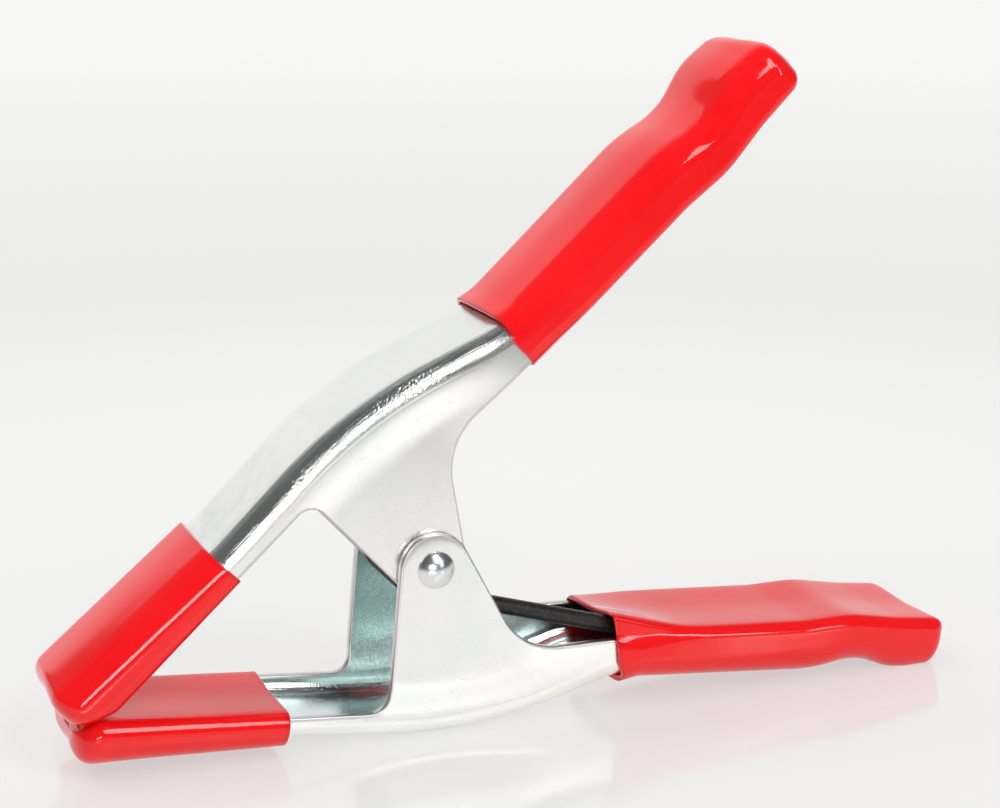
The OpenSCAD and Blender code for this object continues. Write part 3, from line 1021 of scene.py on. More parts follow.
@dataclass(frozen=True)
class DippedVinyl:
    """Glossy dipped vinyl: saturated, self-levelled with a faint ripple, darker on its rims.

    Attributes:
        tints: From the deeper to the fuller red.
        rim: Colour of the rims.
        ripple, peel: Repeats of the slow ripple and of the fine orange peel in a metre.
        peel_high: Height of the peel as a share of the ripple's.
        relief: Strength of the ripple, and its height in metres.
    """

    effects: SharedEffects
    tints: Stops = ((0.35, (0.87, 0.006, 0.009)), (0.6, (0.93, 0.009, 0.012)))
    rim: Colour = (0.80, 0.008, 0.012)
    smooth_rough: float = 0.045
    dull_rough: float = 0.08
    scratch_rough: float = 0.12
    cloud_scale: float = 34.0
    rim_scale: float = 400.0
    scratch_scale: float = 150.0
    scratch_amount: float = 0.25
    ripple: float = 55.0
    peel: float = 900.0
    peel_high: float = 0.04
    relief: Span = (0.10, 0.0015)

    def material(self) -> bpy.types.Material:
        """Builds the material.

        Returns:
            The new material.
        """
        made, wiring, shader = new_material("dipped_vinyl", Metallic=0.0, IOR=1.46)
        place = wiring.place()
        clouds = wiring.effect(self.effects.clouds, place, Scale=self.cloud_scale)
        rim_blend = wiring.effect(self.effects.rim_mask, place, Scale=self.rim_scale)["Mask"]
        scratch = wiring.effect(
            self.effects.scratches, place, Scale=self.scratch_scale, Amount=self.scratch_amount
        )
        colour = wiring.mixed(rim_blend, wiring.ramp(clouds["Value"], self.tints), opaque(self.rim))
        gloss = wiring.level(clouds["Mottle"], *MOTTLE_RANGE, self.smooth_rough, self.dull_rough)
        roughness = wiring.total(gloss, wiring.product(scratch["Mask"], self.scratch_rough))
        peel = wiring.product(wiring.noise(place, self.peel, 2.0), self.peel_high)
        height = wiring.total(wiring.noise(place, self.ripple, 1.0), peel)
        normal = wiring.bump(height, *self.relief)
        wiring.feed(shader, Base_Color=colour, Roughness=roughness, Normal=normal)
        return made


def finished(obj: bpy.types.Object, material: bpy.types.Material, cad_node: str) -> None:
    """Gives a piece its material and slot, hides the CAD node it stands for, and reports it.

    Args:
        obj: The piece.
        material: Its material.
        cad_node: Name of the node that it replaces.
    """
    obj.data.materials.clear()
    obj.data.materials.append(material)
    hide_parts(cad_node)
    LOG.info("%s: %d vertices", obj.name, len(obj.data.vertices))


# ---------------------------------------------------------------- steel pieces


@dataclass(frozen=True)
class RingPlan:
    """Where an arm's rings lie, with one row for each ring.

    Attributes:
        web: u at which the ring meets the web.
        normal: Unit normal (u, v) of the web there, out of the back.
        bend: Centre (u, v) of the bend's quarter circle.
        core: Centre (u, v) of the rounding of the sheared edge.
        outward: Unit normal (u, v) of the free edge, out of the sheet.
    """

    web: np.ndarray
    normal: np.ndarray
    bend: np.ndarray
    core: np.ndarray
    outward: np.ndarray


@dataclass(frozen=True)
class PressedArm:
    """One arm: a channel of sheet metal with two ears, bored for the rivet.

    Attributes:
        edge_step: Longest step between rings along the free edge.
        rim_steps, flank_steps, bend_steps, web_steps: Columns of points over the sheared
            edge, the flank, the bend and half the web.
        rounding: Radius of the sheared edges.
        rim_reach: How far the rim's darkening, partly scuffing and partly painted shade, reaches
            up the flank.
        fan_end: u at which the rings' fan over the ear ends.
        tight_span: Height of a flank above which its columns crowd towards the bend.
        tight_share: Share of the columns that lie beyond that height.
        struck_in, struck_out: Where along u the press struck the bend's speckle.
        struck_low, struck_high: Where it did round the bend, in degrees down from the web.
        labels: Marks that the columns carry.
    """

    side: Side
    finish: ZincPlate
    edge_step: float = 1.6
    rim_steps: int = 5
    flank_steps: int = 25
    bend_steps: int = 10
    web_steps: int = 7
    rounding: float = 0.35
    rim_reach: float = 1.2
    fan_end: float = 36.0
    tight_span: float = 16.0
    tight_share: float = 0.6
    struck_in: Span = (-22.0, -2.0)
    struck_out: Span = (40.0, 26.0)
    struck_low: Span = (24.0, 44.0)
    struck_high: Span = (86.0, 76.0)
    labels: ClassVar[tuple[str, ...]] = ("rim", "bend", "hammer")

    def _stations(self, edge: np.ndarray) -> np.ndarray:
        """Where each ring meets the web.

        A ring lies below its edge point along jaw and handle. Over the ear, from where the
        edge first rises steeper than 45 degrees, the rings step evenly by the edge's length.
        Each is then moved by the bend's lean.

        Args:
            edge: Free edge (u, v), one row for each ring.

        Returns:
            u of each ring.
        """
        sums = run_length(edge)
        along, down = np.diff(edge, axis=0).T
        first = int(np.argmax(along < -down))
        last = int(np.argmax(edge[:, 0] >= self.fan_end))
        even = mix(edge[first, 0], edge[last, 0], (sums - sums[first]) / (sums[last] - sums[first]))
        index = np.arange(len(edge))
        u = np.where((index <= first) | (index >= last), edge[:, 0], even)
        return np.minimum(SIZES.handle_reach, u + SIZES.bend_r * PROFILE.back_normal(u)[:, 0])

    def _plan(self) -> RingPlan:
        """Lays the rings out from the free edge to the web.

        Returns:
            The plan of the rings.
        """
        edge = divided(PROFILE.edge_path(self.side), self.edge_step)
        web = self._stations(edge)
        normal = PROFILE.back_normal(web)
        tangent = unit(np.gradient(edge, axis=0))
        outward = np.stack([tangent[:, 1], -tangent[:, 0]], axis=1)
        bend = np.stack([web, PROFILE.back(web)], axis=1) - normal * SIZES.bend_r
        return RingPlan(web, normal, bend, edge - outward * self.rounding, outward)

    def _flank_y(self, p: np.ndarray) -> np.ndarray:
        """Outer half width of a flank at points (u, v), joggled out or in at the ears."""
        u, v = p[..., 0], p[..., 1]
        return mix(PROFILE.half_width(u), self.side.ear_half_w, PROFILE.joggle(u, v))

    def _columns(self, uv: np.ndarray, y: np.ndarray, **marks: np.ndarray | float) -> np.ndarray:
        """Puts points and their marks together.

        Args:
            uv: Side view (rings, columns, 2) of the points.
            y: Their place across.
            marks: Values of rim, bend and hammer, where they aren't 0.

        Returns:
            Array (rings, columns, 6) of u, y, v, rim, bend and hammer.
        """
        values = [marks.get(label, 0.0) for label in self.labels]
        return np.stack(np.broadcast_arrays(uv[..., 0], y, uv[..., 1], *values), axis=-1)

    def _rim(self, plan: RingPlan, inset: float) -> np.ndarray:
        """Half of the rounded sheared edge: a quarter circle from its crest to the flank.

        Args:
            plan: The rings.
            inset: Depth below the outer surface: 0, or the sheet's thickness.

        Returns:
            Columns as _columns gives them.
        """
        q = np.radians(np.linspace(90.0, 0.0, self.rim_steps))
        uv = plan.core[:, None] + plan.outward[:, None] * (self.rounding * np.sin(q))[:, None]
        inward = self.rounding * (1.0 - np.cos(q)) * (1.0 if inset == 0.0 else -1.0)
        return self._columns(uv, self._flank_y(plan.core)[:, None] - inset - inward, rim=1.0)

    def _flank(self, plan: RingPlan, inset: float) -> np.ndarray:
        """Flank from the edge to the bend: points a share of the way between them, joggled.

        The share is raised to a power, so that a tall flank has its columns where it is set.

        Args:
            plan: The rings.
            inset: Depth below the outer surface.

        Returns:
            Columns as _columns gives them.
        """
        span = np.linalg.norm(plan.core - plan.bend, axis=1)[:, None]
        power = np.maximum(1.0, np.log(self.tight_span / span) / math.log(self.tight_share))
        share = np.linspace(1.0, 0.0, self.flank_steps + 1)[1:] ** power
        uv = mix(plan.bend[:, None], plan.core[:, None], share[..., None])
        rim = np.clip(1.0 - (1.0 - share) * span / self.rim_reach, 0.0, 1.0)
        return self._columns(uv, self._flank_y(uv) - inset, rim=rim)

    def _bend(self, plan: RingPlan, inset: float) -> np.ndarray:
        """Bend from flank to web: a quarter circle square to the web.

        Its mark is the root of the sine of twice the angle, and the press struck its lower
        part over the shoulder.

        Args:
            plan: The rings.
            inset: Depth below the outer surface.

        Returns:
            Columns as _columns gives them.
        """
        degrees = np.linspace(0.0, 90.0, self.bend_steps + 1)[1:]
        q, radius = np.radians(degrees), SIZES.bend_r - inset
        uv = plan.bend[:, None] + plan.normal[:, None] * (radius * np.sin(q))[:, None]
        y = PROFILE.half_width(plan.web)[:, None] - SIZES.bend_r + radius * np.cos(q)
        along = eased(plan.web, *self.struck_in) * eased(plan.web, *self.struck_out)
        round_it = eased(90.0 - degrees, *self.struck_low) * eased(90.0 - degrees, *self.struck_high)
        bend = np.sqrt(np.sin(2.0 * q))
        return self._columns(uv, y, bend=bend, hammer=along[:, None] * round_it)

    def _half(self, plan: RingPlan, inset: float) -> np.ndarray:
        """Half of every ring on the +y side, from the sheared edge to the middle of the web.

        Args:
            plan: The rings.
            inset: Depth below the outer surface.

        Returns:
            Columns as _columns gives them.
        """
        bend = self._bend(plan, inset)
        flat = np.linspace(1.0, 0.0, self.web_steps + 1)[1:]
        web_y = (PROFILE.half_width(plan.web)[:, None] - SIZES.bend_r) * flat
        web_uv = np.broadcast_to(bend[:, -1:, 0:3:2], (len(bend), self.web_steps, 2))
        web = self._columns(web_uv, web_y)
        return np.concatenate([self._rim(plan, inset), self._flank(plan, inset), bend, web], axis=1)

    def build(self) -> bpy.types.Object:
        """Makes the arm's mesh with its bore: outside, then inside, each mirrored across y.

        Returns:
            The arm.
        """
        plan = self._plan()
        mirror = np.array([1.0, -1.0, 1.0, 1.0, 1.0, 1.0])
        outer, inner = (
            np.concatenate([half, (half * mirror)[:, -2::-1]], axis=1)
            for half in (self._half(plan, inset) for inset in (0.0, SIZES.sheet))
        )
        rings = np.concatenate([outer, inner[:, ::-1]], axis=1)[::-1]
        marks = dict(zip(self.labels, np.moveaxis(rings[..., 3:], -1, 0)))
        # The inner faces, which the zinc paints darker and bluer as painted shade.
        marks["inner"] = np.broadcast_to(np.arange(rings.shape[1]) >= outer.shape[1], rings.shape[:2])
        skin = Skin(rings[..., :3], marks, channel=True)
        obj = skin.build(f"{self.side.value}_arm_pressing", Placement.of(self.side))
        play = SIZES.rivet_play if self.side is Side.UPPER else 0.0
        cut(obj, bore_cutter(SIZES.rivet_d / 2.0 + play))
        return obj

    def dress(self, obj: bpy.types.Object) -> None:
        """Finishes the arm in zinc plate."""
        finished(obj, self.finish.material(), f"{self.side.value}_arm")
        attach(obj, self.side.body)


def bore_cutter(radius: float) -> bpy.types.Object:
    """A cylinder along the pivot, longer than the arms are wide, that cuts the bores.

    Args:
        radius: Radius of the bores.

    Returns:
        The cylinder.
    """
    reach = SIZES.lower_ear_w
    profile = np.array([(0.0, -reach), (radius, -reach), (radius, reach), (0.0, reach)])
    return revolved("bore_cutter", profile)


@dataclass(frozen=True)
class PivotRivet:
    """The rivet on which the ears turn: a shank with a domed head outside each lower ear.

    Attributes:
        land: Height of the head's upright rim.
        foot: Chamfer between the rim and the ear.
        dome_inset: How far inside the rim the dome starts.
        ease: How much smaller the shank's radius is than its bore's.
        dome_steps: Points of the dome's arc.
    """

    finish: RivetSteel
    land: float = 0.35
    foot: float = 0.12
    dome_inset: float = 0.1125
    ease: float = 0.01
    dome_steps: int = 28

    def _head(self) -> np.ndarray:
        """Half profile of a head, from the ear out: a chamfered rim, then the dome.

        The dome is an arc through the rim and the crown, with its centre on the axis.

        Returns:
            Points (radius, y), one row each.
        """
        radius, height = SIZES.rivet_head_d / 2.0, SIZES.rivet_head_h
        face = SIZES.lower_ear_w / 2.0
        rise = height - self.land
        dome = (radius**2 + rise**2) / (2.0 * rise)
        q = np.linspace(math.asin((radius - self.dome_inset) / dome), 0.0, self.dome_steps)
        arc = np.stack([dome * np.sin(q), face + height - dome + dome * np.cos(q)], axis=1)
        rim = [(radius - self.foot, face), (radius, face + self.foot), (radius, face + self.land)]
        return np.concatenate([rim, arc])

    def build(self) -> bpy.types.Object:
        """Makes the rivet in one piece, head, shank and head.

        Returns:
            The rivet.
        """
        shank = [(SIZES.rivet_d / 2.0 - self.ease, SIZES.lower_ear_w / 2.0)]
        half = np.concatenate([shank, self._head()])
        profile = np.concatenate([half[::-1] * np.array([1.0, -1.0]), half])
        return revolved("rivet", profile)

    def dress(self, obj: bpy.types.Object) -> None:
        """Finishes the rivet in bright steel, on the lower arm."""
        finished(obj, self.finish.material(), "pivot_rivet")
        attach(obj, Side.LOWER.body)


@dataclass(frozen=True)
class TorsionSpring:
    """One wire: up the lower leg, round the coil and out along the upper leg.

    Attributes:
        turns: Turns of the coil, were its legs level and parallel.
        open_ends: How much faster than evenly the end turns step along the coil.
        chamfer: Chamfer of the wire's cut ends.
    """

    finish: SpringWire
    turns: float = 4.5
    wire_sides: int = 20
    rings_per_turn: int = 60
    leg_rings: int = 39
    open_ends: float = 0.035
    chamfer: float = 0.35

    def _coil(self) -> tuple[np.ndarray, np.ndarray]:
        """Middle line of the coil: (coil_r cos q, y, coil_r sin q).

        y steps evenly along the coil, but a little faster in its end turns, by the cube of
        the place less the place.

        Returns:
            Points (n, 3), and their angles q.
        """
        s = SIZES
        sweep = self.turns * 360.0 - 2.0 * s.leg_slope - s.closed_angle
        place = np.linspace(0.0, 1.0, math.ceil(sweep / 360.0 * self.rings_per_turn) + 1)
        q = np.radians(-90.0 - s.leg_slope - sweep * place)
        x = 2.0 * place - 1.0
        y = s.leg_y * (x + self.open_ends * (x**3 - x))
        return np.stack([s.coil_r * np.cos(q), y, s.coil_r * np.sin(q)], axis=1), q

    def _line(self) -> tuple[np.ndarray, np.ndarray]:
        """Middle line of the whole wire, in the lower plane. Each leg is a tangent.

        Returns:
            Points (n, 3), and the angle about the pivot of each ring's radial direction.
        """
        s = SIZES
        coil, q = self._coil()
        slope, tilt = math.radians(s.leg_slope), math.radians(s.closed_angle + s.leg_slope)
        length = s.leg_reach / math.cos(slope) + s.coil_r * math.tan(slope)
        steps = np.linspace(length, 0.0, self.leg_rings + 1)[:-1, None]
        lower = coil[0] + steps * np.array([math.cos(slope), 0.0, -math.sin(slope)])
        upper = coil[-1] + steps[::-1] * np.array([math.cos(tilt), 0.0, math.sin(tilt)])
        angles = np.pad(q, self.leg_rings, mode="edge")
        return np.concatenate([lower, coil, upper]), angles

    def build(self) -> bpy.types.Object:
        """Sweeps the wire's round section along the line, with chamfered cut ends.

        Returns:
            The spring.
        """
        line, angles = self._line()
        a = 2.0 * math.pi * (np.arange(self.wire_sides) + 0.5) / self.wire_sides
        radial = np.stack([np.cos(angles), np.zeros_like(angles), np.sin(angles)], axis=1)
        across = np.array([0.0, -1.0, 0.0])
        section = radial[:, None] * np.cos(a)[:, None] + across * np.sin(a)[:, None]
        radius = SIZES.wire_d / 2.0
        points = line[:, None] + section * radius
        faces = line[[0, -1], None] + section[[0, -1]] * (radius - self.chamfer)
        points[0] -= unit(line[0] - line[1]) * self.chamfer
        points[-1] -= unit(line[-1] - line[-2]) * self.chamfer
        points = np.concatenate([faces[:1], points, faces[1:]])
        return Skin(points[::-1]).build("spring_coil", Placement(SIZES.bench_tilt))

    def dress(self, obj: bpy.types.Object) -> None:
        """Finishes the wire, and bakes its place into its mesh.

        Args:
            obj: The spring.
        """
        finished(obj, self.finish.material(), "torsion_spring")
        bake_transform(obj)


# ---------------------------------------------------------------- vinyl pieces


@dataclass(frozen=True)
class SleeveRings:
    """Rings of a sleeve, from its closed end over the outside and the mouth's rim to the
    inside, with one row for each ring.

    Attributes:
        u: Place of the ring along the arm.
        wall: Wall thickness outside the steel and its gap.
        shrink: How much the ring is drawn in.
        rim: Whether the ring belongs to the mouth's rim.
        outside: Whether the ring is outside, short of the mouth's rounding.
    """

    u: np.ndarray
    wall: np.ndarray
    shrink: np.ndarray
    rim: np.ndarray
    outside: np.ndarray


@dataclass(frozen=True)
class Sleeve:
    """What the dipped covers share: a thin wall that follows the steel, with soft corners.

    Attributes:
        near_r: Radius of the corners over the flanges' edges, outside.
        inner_r, least_r: The same inside, and the least one at the closed end.
        nose_r: Radius of the closed end in side view.
        near_share: Share of that rounding which the near side gets.
        nose_plan: How many times more the end is drawn in across the sleeve.
        far_share: Share of it by which the corners over the bends get tighter.
        least_flank: Least height of the wall's flank.
        crown: How far the middle of the back stands out.
        sag: How far the wall across the open side of the channel sinks in.
        sag_width, sag_depth: Share of the half width, and of the corner's radius, that sinks.
        lip: Radius of the mouth's rim.
        dent: How far the middle of the closed end is drawn in.
        dent_width, dent_reach: Width of that dent's bell curve, and its depth along the sleeve.
        nose_steps, outer_step, inner_step: Rings of the closed end, and the longest steps
            between rings outside and inside.
        columns: Points along half the near wall, its corner, the flank, the corner at the
            back, and half the back.
        way: 1 where the sleeve runs along u, and -1 against it.
        kind: How the names of such sleeves end.
        cad_node: How the names of the nodes end that they stand for.
    """

    side: Side
    finish: DippedVinyl
    near_r: float = 2.0
    inner_r: float = 0.4
    least_r: float = 0.3
    nose_r: float = 5.0
    near_share: float = 1.0
    nose_plan: float = 1.7
    far_share: float = 0.8
    least_flank: float = 0.05
    crown: float = 0.8
    sag: float = 0.4
    sag_width: float = 0.88
    sag_depth: float = 0.6
    lip: float = 0.3
    dent: float = 0.4
    dent_width: float = 4.0
    dent_reach: float = 6.0
    nose_steps: int = 15
    outer_step: float = 1.0
    inner_step: float = 2.0
    columns: ClassVar[tuple[int, ...]] = (9, 9, 7, 13, 10)
    way: ClassVar[int]
    kind: ClassVar[str]
    cad_node: ClassVar[str]

    @property
    def mouth(self) -> float:
        """Reach of the mouth from the pivot."""
        raise NotImplementedError

    @property
    def steel_reach(self) -> float:
        """Reach of the steel inside, with its gap."""
        raise NotImplementedError

    @property
    def end(self) -> float:
        """Reach of the closed end."""
        return self.steel_reach + SIZES.nose_length

    def _near(self, u: np.ndarray, wall: np.ndarray) -> np.ndarray:
        """v of the near wall's surface at u."""
        raise NotImplementedError

    def _near_r_at(self, u: np.ndarray, side: int) -> np.ndarray:
        """Radius of the corner over one flange's edge at u."""
        return np.full_like(u, self.near_r)

    def _sag_at(self, u: np.ndarray) -> np.ndarray:
        """How far the middle of the near wall sinks at u."""
        return np.full_like(u, self.sag)

    def _lip(self, count: int = 5) -> tuple[np.ndarray, np.ndarray]:
        """Rounded rim of the mouth: a quarter circle outside and one inside.

        Args:
            count: Rings of each quarter.

        Returns:
            How far each ring lies back from the mouth, and its wall thickness.
        """
        q = np.radians(np.linspace(0.0, 90.0, count))
        back, off = self.lip * (1.0 - np.sin(q)), self.lip * (1.0 - np.cos(q))
        return np.concatenate([back, back[::-1]]), np.concatenate([SIZES.vinyl - off, off[::-1]])

    def _rings(self) -> SleeveRings:
        """Lays the rings out. The closed end is a quarter circle that draws them in.

        Returns:
            The sleeve's rings.
        """
        q = np.radians(np.linspace(90.0, 0.0, self.nose_steps))
        straight, lip_end = self.end - self.nose_r, self.mouth + 2.0 * self.lip
        nose = straight + self.nose_r * np.sin(q)
        outer = spaced(straight, lip_end, self.outer_step)[1:]
        back, lip_wall = self._lip()
        inner = spaced(lip_end, self.steel_reach, self.inner_step)
        outside, first_inner = len(nose) + len(outer), len(nose) + len(outer) + len(back)
        index = np.arange(first_inner + len(inner))
        return SleeveRings(
            u=self.way * np.concatenate([nose, outer, self.mouth + back, inner]),
            wall=np.concatenate([np.full(outside, SIZES.vinyl), lip_wall, np.zeros(len(inner))]),
            shrink=np.concatenate([self.nose_r * (1.0 - np.cos(q)), np.zeros(len(index) - len(nose))]),
            rim=(index >= outside - 1) & (index <= first_inner),
            outside=index < outside,
        )

    def _outline(
        self, near: np.ndarray, far: np.ndarray, half: np.ndarray, near_r: np.ndarray, far_r: np.ndarray
    ) -> tuple[np.ndarray, np.ndarray]:
        """Half a rectangle with quarter circles at its corners, from near wall to back.

        Args:
            near, far: v of the near wall and of the back, as columns (rings, 1).
            half: Half width.
            near_r, far_r: Radii of the corners.

        Returns:
            y and v of the points, each (rings, columns).
        """
        wall = np.linspace(0.0, 1.0, self.columns[0])[:-1]
        near_q = np.radians(np.linspace(-90.0, 0.0, self.columns[1]))
        flank = np.linspace(0.0, 1.0, self.columns[2])[1:-1]
        far_q = np.radians(np.linspace(0.0, 90.0, self.columns[3]))
        back = np.linspace(1.0, 0.0, self.columns[4])[1:]
        low, high = near + near_r, far - far_r
        y = [
            (half - near_r) * wall,
            half - near_r + near_r * np.cos(near_q),
            half * np.ones_like(flank),
            half - far_r + far_r * np.cos(far_q),
            (half - far_r) * back,
        ]
        v = [
            near * np.ones_like(wall),
            low + near_r * np.sin(near_q),
            mix(low, high, flank),
            high + far_r * np.sin(far_q),
            far * np.ones_like(back),
        ]
        return np.concatenate(y, axis=1), np.concatenate(v, axis=1)

    def _half_section(self, rings: SleeveRings, side: int) -> np.ndarray:
        """The +y half of each ring, with the corner that the given side has.

        The back is crowned by a squared cosine of y, and the near wall sinks by a smooth dip.

        Args:
            rings: The rings.
            side: 1 or -1, the side of the sleeve whose corner it gets.

        Returns:
            Points (rings, columns, 3).
        """
        s = SIZES
        u, wall, shrink = (value[:, None] for value in (rings.u, rings.wall, rings.shrink))
        outside = wall / s.vinyl
        near = self._near(u, wall) + shrink * self.near_share
        far = PROFILE.back(u) + s.vinyl_gap + wall - shrink
        half = PROFILE.half_width(u) + s.vinyl_gap + wall - shrink * self.nose_plan
        near_r = np.maximum(self.least_r, mix(self.inner_r, self._near_r_at(u, side), outside) - shrink)
        far_r = s.bend_r + s.vinyl_gap + wall - self.far_share * shrink
        far_r = np.minimum(far_r, far - near - near_r - self.least_flank)
        y, v = self._outline(near, far, half, near_r, far_r)
        across = y / half
        crown = self.crown * outside * (1.0 - shrink / self.nose_r)
        v = v + crown * np.cos(across * math.pi / 2.0) ** 2 * eased(v, far - far_r, far)
        low_side = 1.0 - eased(v, near, near + self.sag_depth * near_r)
        v = v + self._sag_at(u) * (1.0 - smooth(np.abs(across) / self.sag_width)) * low_side
        return np.stack(np.broadcast_arrays(u, y, v), axis=-1)

    def _section(self, rings: SleeveRings) -> np.ndarray:
        """Closed rings round the steel, starting in the middle of the near side.

        Args:
            rings: The rings.

        Returns:
            Points (rings, points in a ring, 3).
        """
        left, right = (self._half_section(rings, side) for side in (-1, 1))
        return np.concatenate([right, left[:, -2:0:-1] * np.array([1.0, -1.0, 1.0])], axis=1)

    def _stretched(self, rings: SleeveRings, points: np.ndarray) -> np.ndarray:
        """The section as what lies inside the sleeve stretches it."""
        return points

    def _dented(self, rings: SleeveRings, points: np.ndarray) -> np.ndarray:
        """Draws the middle of the closed end in, by a bell curve of y that fades inwards.

        Args:
            rings: The rings.
            points: Their points.

        Returns:
            The moved points.
        """
        bell = self.dent * np.exp(-((points[..., 1] / self.dent_width) ** 2))
        drawn = bell * eased(self.end - self.way * points[..., 0], self.dent_reach, 0.0)
        moved = points.copy()
        moved[..., 0] -= self.way * drawn * rings.outside[:, None]
        return moved

    def _rested(self, points: np.ndarray) -> np.ndarray:
        """The points as the bench leaves them."""
        return points

    def build(self) -> bpy.types.Object:
        """Makes the sleeve as one closed skin.

        Returns:
            The sleeve.
        """
        rings = self._rings()
        points = self._stretched(rings, self._section(rings))
        points = self._rested(self._dented(rings, points))[:: self.way]
        rim = np.broadcast_to(rings.rim[:: self.way, None], points.shape[:2])
        skin = Skin(points, {"rim": rim}, soft_caps=True)
        return skin.build(f"{self.side.value}_{self.kind}", Placement.of(self.side))

    def dress(self, obj: bpy.types.Object) -> None:
        """Finishes the sleeve in vinyl."""
        finished(obj, self.finish.material(), f"{self.side.value}_{self.cad_node}")
        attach(obj, self.side.body)


@dataclass(frozen=True)
class JawCover(Sleeve):
    """Cover of one jaw, bevelled where the closed jaws meet, with a soft nose.

    Attributes:
        cleft: How much deeper the near wall sinks at the nose.
        cleft_run: Where along u it gets deeper.
        meet_round: Square that rounds the corner between edge line and bevel.
    """

    near_r: float = 3.3
    nose_r: float = 4.4
    near_share: float = 0.4
    cleft: float = 0.5
    cleft_run: Span = (-66.0, -74.0)
    meet_round: float = 0.02
    dent: float = 0.5
    dent_width: float = 5.5
    dent_reach: float = 5.0
    nose_steps: int = 13
    outer_step: float = 1.2
    inner_step: float = 2.5
    way: ClassVar[int] = -1
    kind: ClassVar[str] = "jaw_sleeve"
    cad_node: ClassVar[str] = "jaw_cover"

    @property
    def mouth(self) -> float:
        """Reach of the mouth from the pivot."""
        return SIZES.cover_mouth

    @property
    def steel_reach(self) -> float:
        """Reach of the steel inside, with its gap."""
        return SIZES.jaw_reach + SIZES.vinyl_gap

    def _near(self, u: np.ndarray, wall: np.ndarray) -> np.ndarray:
        """Near wall: the flange's edge line, or the bevel where the closed jaws meet.

        The greater of the two is rounded where they cross: half the sum plus half the root of
        the squared difference and a small square.

        Args:
            u: Places along the arm.
            wall: Wall thickness there.

        Returns:
            v of the wall's surface.
        """
        s = SIZES
        flat = PROFILE.jaw_edge(self.side, u) - s.vinyl_gap - wall
        lap = (s.jaw_gap / 2.0 + s.vinyl - wall) / math.cos(PROFILE.meet_angle)
        bevel = lap - u * math.tan(PROFILE.meet_angle)
        return (flat + bevel + np.sqrt((flat - bevel) ** 2 + self.meet_round)) / 2.0

    def _sag_at(self, u: np.ndarray) -> np.ndarray:
        """A deeper sag at the nose, where the wall spans the open end of the channel."""
        return self.sag + self.cleft * eased(u, *self.cleft_run)


